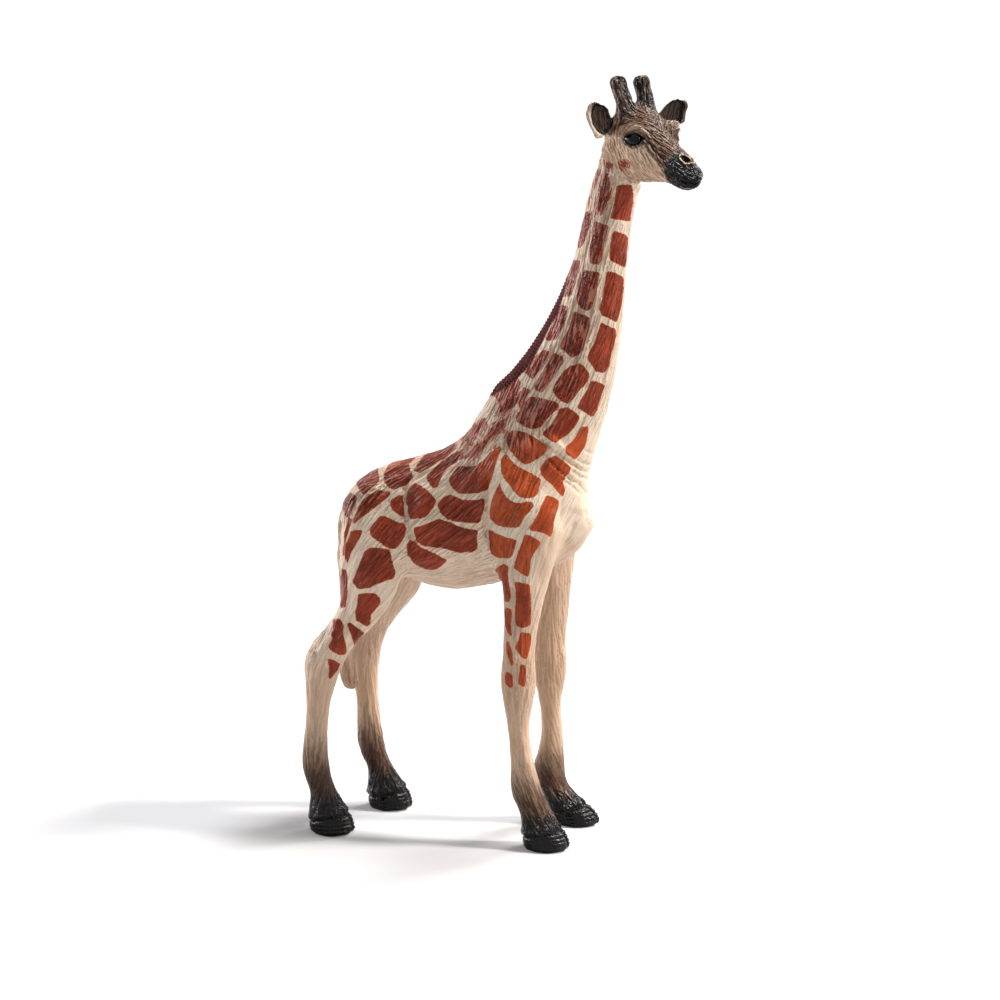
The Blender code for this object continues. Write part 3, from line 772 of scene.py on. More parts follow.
def hair_direction(table, chosen):
    """The way the hair lies at these points, along the skin."""
    table = rows(table)
    doubled = np.radians(table[:, 2]) * 2
    away = ((spot[chosen][:, None, :] - table[None, :, :2]) ** 2).sum(2) + 4.0
    weight = away**-1.5
    turn = np.arctan2(weight @ np.sin(doubled), weight @ np.cos(doubled)) / 2
    way = np.cos(turn)[:, None] * RIGHTWARD + np.sin(turn)[:, None] * UPWARD
    square = twin_normal[chosen]
    return way - (way * square).sum(1)[:, None] * square


def diagonals_of(mesh):
    """The pairs of points across every four-cornered face."""
    totals = read(mesh.polygons, "loop_total", kind=np.int32)
    quads = read(mesh.polygons, "loop_start", kind=np.int32)[totals == 4]
    corners = corner_point[quads[:, None] + np.arange(4)]
    return np.concatenate([corners[:, [0, 2]], corners[:, [1, 3]]])


def comb(field, ways, rounds):
    """Smears a field along the hair's way."""
    first, second = np.concatenate([pairs, diagonals_of(skin.data)]).T
    step = place[second] - place[first]
    step /= np.maximum(np.linalg.norm(step, axis=1), 1e-9)[:, None]
    to_first = np.abs((step * ways[first]).sum(1)) ** COMB_SHARPNESS
    to_second = np.abs((step * ways[second]).sum(1)) ** COMB_SHARPNESS
    total = len(field)
    sums = np.bincount(first, to_first, total) + np.bincount(second, to_second, total) + COMB_OWN
    for _ in range(rounds):
        near = np.bincount(first, to_first * field[second], total)
        near += np.bincount(second, to_second * field[first], total)
        field = (near + COMB_OWN * field) / sums
    return field


way = np.zeros_like(place)
way[in_head] = hair_direction(HEAD_HAIR, in_head)
way[~in_head] = hair_direction(HAIR, ~in_head)
way = turned(way)
way /= np.maximum(np.linalg.norm(way, axis=1), 1e-6)[:, None]

chance = np.random.default_rng(HAIR_SEED)
hair = comb(chance.normal(size=len(place)), way, COMB_ROUNDS)
wisps = relax(chance.normal(size=(len(place), 1)), pairs, 0.6, 1)[:, 0]
wisps = comb(wisps, way, 2 * COMB_ROUNDS)
hair = HAIR_SHARE * hair / hair.std() + wisps / wisps.std()
hair = np.clip(hair / hair.std(), -HAIR_RANGE, HAIR_RANGE)
depths = np.array([HAIR_DEPTH[kind_of(node)] for node in NODES])[point_owner]
print("hair combed over", len(hair), "points")

# %% [markdown]
# ## The mane
# The mane is a low comb down the nape. It is a band of short strokes across the neck's ridge, and dark paint.

# %% Mane
MANE = rows("566,279 560,291 556,301 551,312 545,321 540,330 534,341 527,351 521,360 514,367 506,375 499,383 492,393")
MANE_WIDTHS = (1.5, 4.0, 5.5, 6.5, 7.0, 7.5, 8.0, 9.0, 10.0, 10.5, 10.0, 8.0, 3.0)
MANE_ENDS = 4
TOOTH_STEP = 3.6
TOOTH_DEPTH = 0.12

mane_away, mane_share = along_line(MANE, spot)
mane_length = np.linalg.norm(np.diff(MANE, axis=0), axis=1).sum()
mane_width = np.interp(mane_share, np.linspace(0, 1, len(MANE)), MANE_WIDTHS)
behind = of_kinds("neck", "torso") * (spot[:, 1] > MANE[0, 1] - MANE_ENDS) * (spot[:, 1] < MANE[-1, 1] + MANE_ENDS)
mane = behind * soft_step(mane_width - mane_away, -1.2, 1.2)
teeth = np.sin(2 * math.pi * (mane_share * mane_length / TOOTH_STEP + 0.05 * hair))

fine = depths * hair * (1 - 0.8 * on_hoof) * (1 - 0.9 * mane)
fine *= 1 - 0.85 * soft_step(in_almond, -1.5, 0.5)
fine += TOOTH_DEPTH * teeth * mane + ring
place = place + fine[:, None] * normal
set_points(skin.data, place)
normal = normals_of(skin.data)
print("mane over", int((mane > 0.5).sum()), "points")

# %% [markdown]
# ## Patches of the coat
# The coat is a reticulated giraffe's: brown patches with narrow cream lines between them. Each patch is an outline
# in pixels. A point keeps its distance to the nearest outline, above nought inside a patch, and the paint reads
# it as an attribute and frays the edge.

# %% Patches
# an outline's corners are rows, and a semicolon parts it from the next outline
NECK_PATCHES = """
617,185 632,184 634,200 632,210 631,222 621,220 610,219 613,208 615,197; 613,230 629,236 628,250 627,262 625.5,268
617,264 609,260 610,245; 607,271 615,272 624.5,278 623.5,292 621,310 618,323 610,319 602,316 599,309 603,295 605,280;
601,322 609,326 616,329 617,335 614,345 612,355 610,365 606,373 602,373 595,371 591,364 587,359 590,350 594,344
597,335; 591,381 596,381 605,385 603,392 600,402 597,410 593,417 587,414 577,408 580,401 586,392; 581,427 588.5,426
587,438 584.5,447 580,454 575,460 565,453 565,447 572,441.5 576,436; 606,172 612,178 612,188 610,200 607,210 604,216
598,212 596,203 600,190 602,178; 594,221 600,223 609,226 607,234 604,245 602,262 597,265 590,263 589,250 592,235;
583,270 600,272 598,283 596,295 592,308 588,311 580,309 576,300 578,288 581,278; 573,311 583,314 590,318 590,327
586,340 583,350 578,356 572,358 566,353 559,347 562,340 568,330 571,320; 580,363 585,367 590,375 588,382 580,390
573,399 568,404 562,402 555,396 552,390 557,380 563,372 570,366; 559,409 568,407 580,416 576,425 567,436 559,440
556,443 549,440 541,433.5 549,427 556,417; 597,166 600,172 597,182 592,192 589,204 588,200 590,190 593,178; 612,147
613,155 612,168 608,172 605,165 608,155; 586,211 592,213 591,222 586,235 583,245 578,249 577,243 580,232 583,220;
572,260 580,260 578,272 574,285 571,296 562,297 560,292 565,280 569,270; 560,304 568,307 566,318 562,330 556,340
547,341 545,338 552,325 556,314; 545,349 550,352 545,362 538,373 532,380 524,372 519,373 527,365 535,356; 524,387
531,390 526,398 522,408 519,409 519,400 521,392; 553,352 563,356 564,362 557,372 549,384 542,393 536,391 533,386
540,376 547,364; 517.3,412.8 520.3,411.3 524.2,403.7 528.8,398.3 532.6,396 538.7,397.5 547,399.5 555,401.4 559,403.7
558.6,408.3 553.2,412.8 547.1,419 542.5,425.9 537.9,428.9 530.3,428.9 522.6,425.9 516.5,421.3 515.4,416.7
"""
CHEEK_PATCHES = "620,161 624,160 629,162 628,167 624,169 620,167"
SHOULDER_PATCHES = """
505,377 517,376 521,383 520,390 519,402 516,405 510,410 506,414.5 500,417 496,414.5 497.5,409 498,403 496.5,398
492,395 489,398 492,391 498,384; 505,431 511,430.4 520,430.8 528,433.5 535.6,438 542.5,442.7 548,446.5 547,451
544,454.5 539.5,458 532,462 526.5,464.5 521,462.6 515,456.5 510.4,451 506.6,445 504.3,437.3; 500.4,458.8 504.3,453.4
507.3,455 511.2,460.3 516,465 523,469 531,473 541,479 540,486 538,494 534,497 526,499 519,497 512,489 505,480 501,473
500,463; 500,481 501,488 506,497 513,502 520,503 528,501 534,504 532,509 527,514 523,520 520,527 513,528 503,527
495,523 490,518 491,507 494,496 497,488; 546,495 553,497 559,501 558,507 555,515 553,523 554,532 551,538 545,534
538,532 531,531 529,528 534,521 538,513 542,503; 545,460 549,458 555,455 561,459 566,463 571,467 570,473 566,478
563,482 565,490 563,497 558,493 553,486 546,480 541,475 540,468; 487,530 492,530 500,534 508,538 517,540 515,547
512,557 506,559 498,558 491,554 488,545; 511.2,414.4 508.9,419.7 505.8,425 501.2,431.2 498.1,435 492,440.4 489,442.7
485.9,446.5 482.8,451 476.7,456.5 470.6,461 466,460.3 465.2,456.5 469,451 473.7,444.2 479.8,441.2 484.4,437.3
487.4,432.7 489,428 493.6,423.6 499.7,419 506.6,414.4; 485.9,419 487.4,423.6 482.8,431.2 476.7,437.3 472,440.4
469.8,445 466,447.3 462.2,442.7 460.7,438.1 466,433.5 472,427.4 481.3,419.7
"""
FLANK_PATCHES = """
452,474 458,466 470,465.5 477,465.5 482,461 487,455 494,449.5 499,446 501.5,448 499,455 496,463 494,472 491,482
487,490 480,493 470,494 460,494 452,489 448,480; 443,497 449,494 456,497 463,500 475,500 484,498 484,508 482,518
479,523 470,523 458,522 447,519 440,513 437,505; 412.6,528 424,525 432.5,521 438.6,518.8 445,520.3 458,526 470,529
478,530 477,540 478,549 472,552 458,553 445,549 440,547.5 432,548 422,545.6 416.5,541; 410,540 415,541.5 420,547
430,551 440,556 447,560 445,563 440,567 434,570 425,569 415,564 408,556 406,548 407,544; 455,442 457,445 450,454
440,461 430,468 420,473 414,471 417,464 422,457 430,451 440,447 450,442; 460,449.6 463.5,451 464.5,455 457.6,461.8
450,466.4 445,471 441,478 438,487.4 433.3,489 426,479.8 428,473.7 442,461 452,454; 391.2,462.2 418,455.3 414.2,459.9
409.2,463.7 410.3,470.6 413.8,477.5 409.6,481.3 405,485.1 395,489.7 388.9,488.2 384.3,482.8 383.9,476 386.6,469.1;
378,466 378.8,472 379.5,482.8 373,487.4 363,496 359,489 356,483 363.7,474.4 370.6,469.1; 377.4,489.7 389.7,491.6
390.4,494.3 385,499.7 379,505 369.8,511.2 362.9,516.5 353.7,524.5 352.6,521.1 358.3,507.3 362.1,500.4 369,495;
415.7,483.6 421.8,485.9 429.5,492 436.7,499.7 436,503.5 431.8,510.4 427.9,516.5 420.3,518.8 410.3,518.8 406.5,513.4
407.3,507.3 405,501.2 406.8,492 410.3,486
"""
HIND_PATCHES = """
390.4,501 395,497.4 402,494 402,500 403,508 404.2,518.8 400.4,516.5 393.5,510.4 390.4,505.5; 380.5,515 386.6,516.5
393.5,519.6 400.4,522.6 404.2,523.4 405.7,528.8 405.4,535.6 401.9,541.8 396.6,547.9 391.2,549.4 385.1,546.4 377.4,541
371.3,536.4 369.4,531 372.8,524.2 376.7,519.6; 372,547 383.6,548.6 389.7,550.2 391.2,555.5 394,568 396,573 393,579
385,581 377,584 370,588 358,589 352,582 356,573 361,560 365.2,550.9; 350.7,530.3 362.9,530.3 360.6,537.2 355,545.6
350,554.8 347,564 343,558 345.3,545.6 349,537.2; 349.5,492 357.5,496 356,506 352,513 348,518 345,516 341,509 341.5,504
345,497; 349,517 351.5,519 349,529 345,543 343,556 340,556 342,540 345,527; 341,568 346,570 348,580 347,595 345,607
341,609 339,600 340,585; 358,594 366,593 375,593 380,598 381,603 376,609 371,615 371,623 368,627 361,624 356,621
355,612 357,604; 329,632 334,618 340,619 344,626 343,632 345,641 347,649 346,655 338,655 330,650 328,647 332,638;
346,624 350,622 356,627 365,633 360,640 355,648 353,642 351,635; 327,658 334,660 341,664 339,669 334,675 330,680
328,677 329,668
"""
FORE_PATCHES = """
524,535 530,535 536,539 541,542 539,547 534,553 531,560 530,570 529,577 523,575 513,568 515,560 519,549; 504,563
508,567 508,577 510,588 511,598 509,602 504,602 503,595 502,585 499,577 495,570 498,567; 514,582 520,582 530,584
531,600 531,624 528,627 520,628 515,625 514,618 515,605 516,592; 505,607 511,609 512,612 511,622 511,630 512,637
508,634 505,625 504,614; 520,632 531,633 531,642 529,652 527,659 523,659 519,654 515,648 518,640; 507,640 510,645
513,655 514,664 511,667 509,660 506,651 506,644; 520,664 526,665 526,675 526,687 522,687 518,684 519,675; 506,671
513,675 513,688 509,688 505,683 505,676
"""
STREAKY = """
455,442 468,428 482,414 496,400 500,412 514,410 512,428 500,446 482,462 466,466 456,456; 597,136 613,146 616,168
611,192 608,217 592,219 584,205 588,178; 618,158 632,158 632,171 618,171
"""
COARSE = """
604,138 614,150 613,178 610,218 604,262 596,310 590,340 582,366 570,395 548,432 520,446 500,470 478,476 440,470
400,480 360,520 340,520 345,470 440,420 500,385 545,355 566,312 578,270 586,230 594,180
"""
GLANCING = "596,165 588,215 577,262 565,305 548,350 530,380 505,395 535,330 560,290 572,240 586,180"
PATCH_REACH = 8.0
PATCH_EASE = 2
CORNER_CUT = 0.13
PATCHED = (
    (NECK_PATCHES, ("neck", "torso")),
    (CHEEK_PATCHES, ("head",)),
    (SHOULDER_PATCHES, ("torso", "neck", "foreleg")),
    (FLANK_PATCHES, ("torso", "hindleg", "foreleg")),
    (HIND_PATCHES, ("torso", "hindleg")),
    (FORE_PATCHES, ("torso", "foreleg")),
)


def outlines_of(table):
    """The corners of each outline, cut once so that it runs rounder."""
    near, far = 1 - CORNER_CUT, CORNER_CUT
    found = []
    for text in table.split(";"):
        corners = rows(text)
        after = np.roll(corners, -1, axis=0)
        cut = np.stack([near * corners + far * after, far * corners + near * after], axis=1)
        found.append(cut.reshape(-1, 2))
    return found


patch = np.full(len(place), -PATCH_REACH)
for table, kinds in PATCHED:
    for outline in outlines_of(table):
        patch = np.maximum(patch, inside(outline, PATCH_REACH, kinds))
patch = relax(patch[:, None], pairs, 0.5, PATCH_EASE)[:, 0]
outer = np.where(on_leg, soft_step(-twin_normal[:, 1], -0.25, 0.1), 1.0)
patch = np.where(outer < 0.5, np.minimum(patch, (outer - 0.5) * 2 * PATCH_REACH), patch) * PIXEL_MM
streaky = np.max([soft_step(inside(outline, 6.0, ("torso", "neck", "head")), -3.0, 3.0)
                  for outline in outlines_of(STREAKY)], axis=0)
coarse_hair = soft_step(inside(outlines_of(COARSE)[0], 12.0, ("torso", "neck", "hindleg")), -9.0, 5.0)
glancing = soft_step(inside(outlines_of(GLANCING)[0], 8.0, ("neck", "torso")), -5.0, 3.0)
print("patches:", sum(len(outlines_of(table)) for table, _ in PATCHED), "covering",
      round(100 * float((patch > 0).mean())), "% of the points")

# %% [markdown]
# ## Airbrushed paint
# Over the cream plastic a maker sprays tan, brown and black through masks: tan on the legs, brown on the brow and
# the pasterns, black on hooves, muzzle, horns and in the ears. Tan laid under the belly and legs, on the inner sides
# of the legs and on the lower chest, and brown in the hollow of the hock, is painted shade. Each is kept as an amount
# from 0 to 1 on the points. Two more amounts tell the materials where the hair is sleek and where the patches are
# painted brighter and warmer, as painted light where the sun falls on shoulder, chest and forelegs.

# %% Sprays
BLACK_MUZZLE = "667,165 671,157 677,151 688,147 704,158 712,184 692,198 671,186 666,180 663,172"
HORN_TAN = "606,70 614,70 615,84 620,98 622,112 613,116 607,92"
EAR_BACK_RIM = "580,98 590,98 590,112 594,124 604,136 608,146 584,146 578,120"
# paint, amount, the softness of its edge in pixels, kinds of pieces, outline
SPRAYS = (
    # painted shade: tan on the lower chest, in the valley between it and the forelegs
    ("tan", 0.65, 9.0, TRUNK, "528,534 556,528 582,540 584,572 572,606 538,604"),
    ("brown", 1.0, 3.0, FACE,
     "607,100 611,118 617,126 625,125.5 634,124.5 643,129 650,137 653,148 657,158 664,167 672,163 680,156 684,144 "
     "682,120 666,104 640,98"),
    ("brown", 0.75, 2.2, FACE, "620,139 624,132 634,129 644,132 651,139 645,145 634,149.5 625,146.5"),
    ("brown", 0.8, 3.0, FACE, "644,138 650,139 660,154 668,166 662,170 652,158 645,147"),
    ("brown", 0.85, 3.0, FACE, "596,101 613,108 622,118 618,130 611,136 604,134"),
    ("black", 1.0, 4.0, FACE, BLACK_MUZZLE),
    ("sleek", 0.6, 4.0, FACE, BLACK_MUZZLE),
    ("sleek", 1.0, 9.0, TRUNK, "552,440 604,430 618,500 604,560 560,600 526,590 532,548 540,500"),
    # painted light: the patches here are painted brighter and warmer, where the sun falls on shoulder and chest
    ("warm", 1.0, 10.0, TRUNK, "500,425 560,440 600,430 612,520 600,560 540,600 486,560 486,470"),
)
# for each paint of a leg its amount, then the heights in mm where it starts to fade and where it ends, on the
# forelegs and on the hind legs
LEG_SPRAYS = {"tan": (0.8, (36, 82), (22, 66)), "brown": (0.95, (6.5, 23), (9, 28)),
              "black": (1.0, (4.6, 10), (5.5, 12.5))}
# the least amount on whole pieces
# the warm amount on the forelegs is painted light, like the warm spray on the shoulder
GROUNDS = {"tan": {"neck": 0.35, "torso": 0.35, "head": 0.75}, "brown": {"head": 0.2, "ear": 0.4, "ossicone": 0.9},
           "warm": {"foreleg": 0.6}}
TAIL_TAN = 0.6
SHADE_TAN = 0.5
INNER_SHADE_TAN = 0.15
HOCK_SHADE = 0.3
EAR_BROWN = 0.8
HORN_BLACK = 0.62
HORN_BARE = 0.5
SLEEK_LEG = 0.72
SLEEK_LEG_LOSS = 0.3


def sprayed(outline, soft, kinds):
    """A soft mask over an outline."""
    return soft_step(inside(outline, 2 * soft, kinds), -soft, soft)


def below(fading, ended):
    """1 up to the height where the paint starts to fade, and 0 from where it has ended."""
    return 1 - soft_step(height, fading, ended)


fore = of_kinds("foreleg")
paints = {name: np.zeros(len(place)) for name in ("tan", "brown", "black", "sleek", "warm")}


def add_paint(name, amount):
    paints[name] = np.maximum(paints[name], amount)


for name, (amount, on_fore, on_hind) in LEG_SPRAYS.items():
    add_paint(name, amount * on_leg * below(*(np.where(fore, *levels) for levels in zip(on_fore, on_hind))))
for name, amount, soft, kinds, outline in SPRAYS:
    add_paint(name, amount * sprayed(rows(outline), soft, kinds))
for name, amounts in GROUNDS.items():
    for kind, amount in amounts.items():
        add_paint(name, amount * of_kinds(kind))

# painted shade: tan laid on the faces that look down, under the belly and legs
shade = np.clip(0.5 - 0.9 * normal[:, 2], 0, 1)
add_paint("tan", SHADE_TAN * shade * of_kinds("torso", *LEGS))
add_paint("tan", (TAIL_TAN + (1 - TAIL_TAN) * below(30, 40)) * of_kinds("tail"))
# painted shade: tan on the inner sides of the legs, which face each other
inner_leg_shade = on_leg * (1 - soft_step(-twin_normal[:, 1], -0.6, 0.3))
tan = np.clip(paints["tan"] + INNER_SHADE_TAN * inner_leg_shade, 0, 1)

# painted shade: brown in the hollow of the hock
add_paint("brown", HOCK_SHADE * stroke("331,624 324,634 314,645", 6.0, 1.0, HINDLEG))
seen_side = -normal @ AHEAD
ear_rim = sprayed(rows(EAR_BACK_RIM), 2.0, ("ear",)) * np.where(left_head, seen_side < 0.1, 1.0)
add_paint("brown", EAR_BROWN * (1 - ear_rim) * of_kinds("ear") * (facing > -0.2))
add_paint("brown", mane)

bowl_black = (0.55 + 0.4 * soft_step(-in_bowl, -4.5, -2.0)) * soft_step(in_bowl, -0.2, 1.6)
add_paint("black", bowl_black * of_kinds("ear"))
bare_horn = HORN_BARE * sprayed(rows(HORN_TAN), 3.0, ("ossicone",))
add_paint("black", (HORN_BLACK - bare_horn) * of_kinds("ossicone"))
add_paint("black", soft_step(in_almond, -1.6, -0.5))
# a paler ring round the nostril: partly worn paint, partly a painted highlight on its rim
nostril_rim = hump(in_nostril, -1.2, 0.9) * (facing > 0.1)
brown = np.clip(paints["brown"] - 0.4 * nostril_rim, 0, 1)
black = np.clip(paints["black"] - 0.85 * nostril_rim, 0, 1)
black = np.maximum(black, soft_step(in_nostril, -0.2, 0.8))
relief = np.clip(fine / np.maximum(depths, 0.03) / 1.6 + 0.8 * np.clip(lift, -0.5, 0.3), -1, 1)

add_paint("sleek", 0.85 * of_kinds("ear") * (in_bowl > -3))
add_paint("sleek", 0.8 * glancing)
low_leg = on_leg * soft_step(height, 6, 10) * below(50, 60)
add_paint("sleek", (SLEEK_LEG - SLEEK_LEG_LOSS * soft_step(height, 26, 36)) * low_leg)

MASKS = {"patch": patch, "tan": tan, "brown": brown, "black": black, "mane": mane, "warm": paints["warm"],
         "relief": relief, "sleek": paints["sleek"], "coarse": coarse_hair, "streaky": streaky, "hoof": on_hoof}
for title, values in MASKS.items():
    keep(title, values.astype(np.float32))
keep("comb", way.astype(np.float32), "FLOAT_VECTOR")
print("paint layers:", ", ".join(MASKS), "and the comb's way")

# %% [markdown]
# ## Cutting the skin into its pieces
# The finished skin is separated along the joints, into one piece for each CAD node. Each cut edge is turned in under
# the skin by a small lip and closed there with a fan of triangles, and each piece keeps the normals of the whole
# skin, so that no joint shows in the light.

# %% Separate the pieces
PIECE_OF = {node: node + "_skin" for node in NODES}
LIP = 0.8
SLOT_OF = {"torso": "coat", "neck": "coat", "foreleg": "coat", "hindleg": "coat", "head": "face",
           "ear": "horn", "ossicone": "horn", "tail": "tail"}

keep("whole_normal", normal.astype(np.float32), "FLOAT_VECTOR")
skin.data.materials.clear()
for node in NODES:
    skin.data.materials.append(bpy.data.materials.new("cut_" + node))
skin.data.polygons.foreach_set("material_index", owner.astype(np.int32))
skin.data.update()
only(skin)
mode("EDIT")
bpy.ops.mesh.select_all(action="SELECT")
bpy.ops.mesh.separate(type="MATERIAL")
mode("OBJECT")
cut_pieces = {}
for thing in list(bpy.context.selected_objects):
    node = thing.data.materials[0].name.removeprefix("cut_")
    thing.name = PIECE_OF[node]
    thing.data.name = PIECE_OF[node]
    cut_pieces[node] = thing
print("pieces:", {node: len(piece.data.polygons) for node, piece in sorted(cut_pieces.items())})


def close_cut(piece):
    """Closes the piece where it was cut, and gives its points the whole skin's normals."""
    mesh = piece.data
    only(piece)
    skin_points = len(mesh.vertices)
    mode("EDIT")
    bpy.ops.mesh.select_mode(type="EDGE")
    bpy.ops.mesh.select_all(action="DESELECT")
    bpy.ops.mesh.select_non_manifold(extend=False, use_wire=False, use_multi_face=False,
                                     use_non_contiguous=False, use_verts=False)
    bpy.ops.mesh.extrude_edges_indiv()
    mode("OBJECT")
    points = points_of(mesh)
    points[skin_points:] -= LIP * read(mesh.attributes["whole_normal"].data, "vector", 3)[skin_points:]
    set_points(mesh, points)
    before = len(mesh.polygons)
    mode("EDIT")
    bpy.ops.mesh.fill_holes(sides=0)
    mode("OBJECT")
    caps = np.arange(len(mesh.polygons)) >= before
    select_faces(mesh, caps)
    mode("EDIT")
    bpy.ops.mesh.select_mode(type="FACE")
    bpy.ops.mesh.poke()
    mode("OBJECT")
    kept = read(mesh.attributes["whole_normal"].data, "vector", 3)
    lost = np.linalg.norm(kept, axis=1) < 0.5
    kept[lost] = normals_of(mesh)[lost]
    mesh.shade_smooth()
    mesh.normals_split_custom_set_from_vertices(kept.tolist())
    return int(caps.sum())


for node, piece in sorted(cut_pieces.items()):
    print(node, "closed with", close_cut(piece), "fans")

# %% [markdown]
# ## Riding and replacing
# Every piece rides on the toy's one body and stands for its CAD node.

# %% Ride
for node, piece in sorted(cut_pieces.items()):
    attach(piece, "root")
    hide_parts(node)

# %% [markdown]
# ## Eyes
# The eyes are glossy black domes under the lids. Each is a sphere squeezed to an almond's length and turned with
# the head.

# %% Eyes
EYE_ALONG = 9.05
EYE_OUT = 4.62
EYE_UP = 9.85
EYE_HALF = (2.55, 1.12, 1.42)
EYE_SEGMENTS = 48
EYE_RINGS = 32


def eyeball(name, side):
    """side is 1 for the left and -1 for the right."""
    forward = np.array((math.cos(HEAD_TURN), math.sin(HEAD_TURN), 0.0))
    centre = HEAD_ORIGIN + EYE_ALONG * forward + side * EYE_OUT * HEAD_LEFT + np.array((0, 0, EYE_UP))
    bpy.ops.object.select_all(action="DESELECT")
    bpy.ops.mesh.primitive_uv_sphere_add(segments=EYE_SEGMENTS, ring_count=EYE_RINGS, radius=1,
                                         rotation=(0, math.pi / 2, 0))
    ball = bpy.context.active_object
    ball.name = name
    ball.data.name = name
    bpy.ops.object.transform_apply(location=False, rotation=True, scale=False)
    ball.scale = [half * MM for half in EYE_HALF]
    ball.rotation_euler = (0, 0, HEAD_TURN)
    ball.location = [number * MM for number in centre]
    bpy.ops.object.transform_apply(location=True, rotation=True, scale=True)
    bpy.ops.object.shade_smooth()
    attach(ball, "root")
    return ball


eyes = [eyeball("eye_right", -1), eyeball("eye_left", 1)]
print("eyes at", [[round(v / MM, 1) for v in eye.data.vertices[0].co] for eye in eyes])

# %% [markdown]
# ## Shared effects
# Two node groups serve all the paints. The first draws the fine moulded hair: it averages a noise at several places
# in a row along the comb's way, which smears it to grooves, for the bump and for the darker colour in them, partly a
# wash of paint and partly painted shade, which also darkens the sculpted creases. The second lays the sprays over each
# other: cream plastic, tan, the patches with their bright rim, brown and black, and adds painted light: brighter
# patches on the lit shoulder and chest, and pale painted glints along the raised hair.

# %% Node groups
def rgb(red, green, blue):
    """A colour as a screen shows it, 0 to 255, made linear."""
    def linear(value):
        value /= 255
        return value / 12.92 if value <= 0.04045 else ((value + 0.055) / 1.055) ** 2.4
    return (linear(red), linear(green), linear(blue), 1.0)


class Wires:
    """Adds nodes to a tree and links them. Each input takes a socket or a plain value."""

    def __init__(self, tree):
        self.tree = tree

    def node(self, kind, inputs=(), **settings):
        made = self.tree.nodes.new(kind)
        for setting, value in settings.items():
            setattr(made, setting, value)
        for title, source in dict(inputs).items():
            self.link(source, made.inputs[title])
        return made

    def link(self, source, target):
        if hasattr(source, "is_output"):
            self.tree.links.new(source, target)
        else:
            target.default_value = source

    def math(self, operation, first, second):
        return self.node("ShaderNodeMath", {0: first, 1: second}, operation=operation).outputs[0]

    def plus(self, first, second):
        return self.math("ADD", first, second)

    def times(self, first, second):
        return self.math("MULTIPLY", first, second)

    def rest(self, value, share=None):
        """What is left of 1 when value, or this share of it, is taken off."""
        return self.math("SUBTRACT", 1.0, value if share is None else self.times(value, share))

    def swing(self, value, share):
        """How far value is above a half, times share."""
        return self.times(self.math("SUBTRACT", value, 0.5), share)

    def mix(self, share, first, second):
        inputs = {"Factor": share, "A": first, "B": second}
        return self.node("ShaderNodeMix", inputs, data_type="RGBA").outputs["Result"]

    def step(self, value, low, high):
        """0 below low, 1 above high, soft between them."""
        inputs = {"Value": value, "From Min": low, "From Max": high}
        return self.node("ShaderNodeMapRange", inputs, interpolation_type="SMOOTHSTEP").outputs["Result"]

    def noise(self, place, scale, detail, roughness=0.6):
        inputs = {"Vector": place, "Scale": scale, "Detail": detail, "Roughness": roughness}
        return self.node("ShaderNodeTexNoise", inputs).outputs["Fac"]

    def layer(self, name):
        return self.node("ShaderNodeAttribute", attribute_name=name).outputs["Fac"]

    def place(self):
        return self.node("ShaderNodeTexCoord").outputs["Object"]


def new_group(name, inputs, outputs):
    """A shader node group with named inputs and their values, and named outputs and their kinds."""
    tree = bpy.data.node_groups.new(name, "ShaderNodeTree")
    for title, value in inputs.items():
        socket = tree.interface.new_socket(title, in_out="INPUT", socket_type="NodeSocketFloat")
        socket.default_value = value
    for title, kind in outputs.items():
        tree.interface.new_socket(title, in_out="OUTPUT", socket_type="NodeSocket" + kind)
    wires = Wires(tree)
    return wires, wires.node("NodeGroupInput").outputs, wires.node("NodeGroupOutput").inputs


CREAM = rgb(240, 222, 200)
# the darker cream, tan and deepest patch colours here go into the grooves and creases: partly a wash of paint, partly
# painted shade
CREAM_SHADE = rgb(146, 100, 74)
TAN = rgb(194, 160, 132)
TAN_DARK = rgb(134, 94, 66)
PATCH_COLOUR = rgb(158, 60, 27)
PATCH_DARK = rgb(118, 40, 20)
PATCH_DEEP = rgb(74, 24, 14)
# a brighter patch colour, painted light where the sun falls
PATCH_PAINTED_LIGHT = rgb(192, 84, 36)
PATCH_RIM = rgb(186, 92, 48)
# a pale colour for painted highlights on the raised hair
PATCH_GLINT = rgb(222, 172, 150)
BROWN = rgb(66, 42, 29)
BROWN_LIGHT = rgb(116, 88, 68)
MANE_COLOUR = rgb(74, 14, 10)
BLACK = rgb(10, 9, 10)
BLACK_WORN = rgb(48, 40, 36)
COMB_TAPS = 9
TAP_STEP = 0.28
GROOVE_DEPTH = 0.4

w, given, out = new_group("combed hair", {"Scale": 2300.0, "Strength": 0.5}, {"Normal": "Vector", "Groove": "Float"})
hair_group = w.tree
here = w.place()
comb_way = w.node("ShaderNodeAttribute", attribute_name="comb").outputs["Vector"]
total = 0.0
for tap in range(COMB_TAPS):
    shift = (tap - (COMB_TAPS - 1) / 2) * TAP_STEP * MM
    shifted = w.node("ShaderNodeVectorMath", {0: comb_way, "Scale": shift}, operation="SCALE").outputs[0]
    moved = w.node("ShaderNodeVectorMath", {0: here, 1: shifted}, operation="ADD").outputs[0]
    total = w.plus(total, w.noise(moved, given["Scale"], 0.0))
groove = w.step(w.times(total, 1 / COMB_TAPS), 0.44, 0.56)
heights = w.plus(w.plus(groove, w.times(w.noise(here, 5200, 2), 0.12)), w.times(w.layer("relief"), 0.3))
depth = w.times(w.rest(w.layer("hoof"), 0.85), w.rest(w.layer("sleek"), 0.75))
depth = w.times(depth, w.plus(0.75, w.times(w.layer("coarse"), 0.75)))
bump = w.node("ShaderNodeBump", {"Distance": GROOVE_DEPTH * MM, "Strength": given["Strength"],
                                 "Height": w.times(heights, depth)})
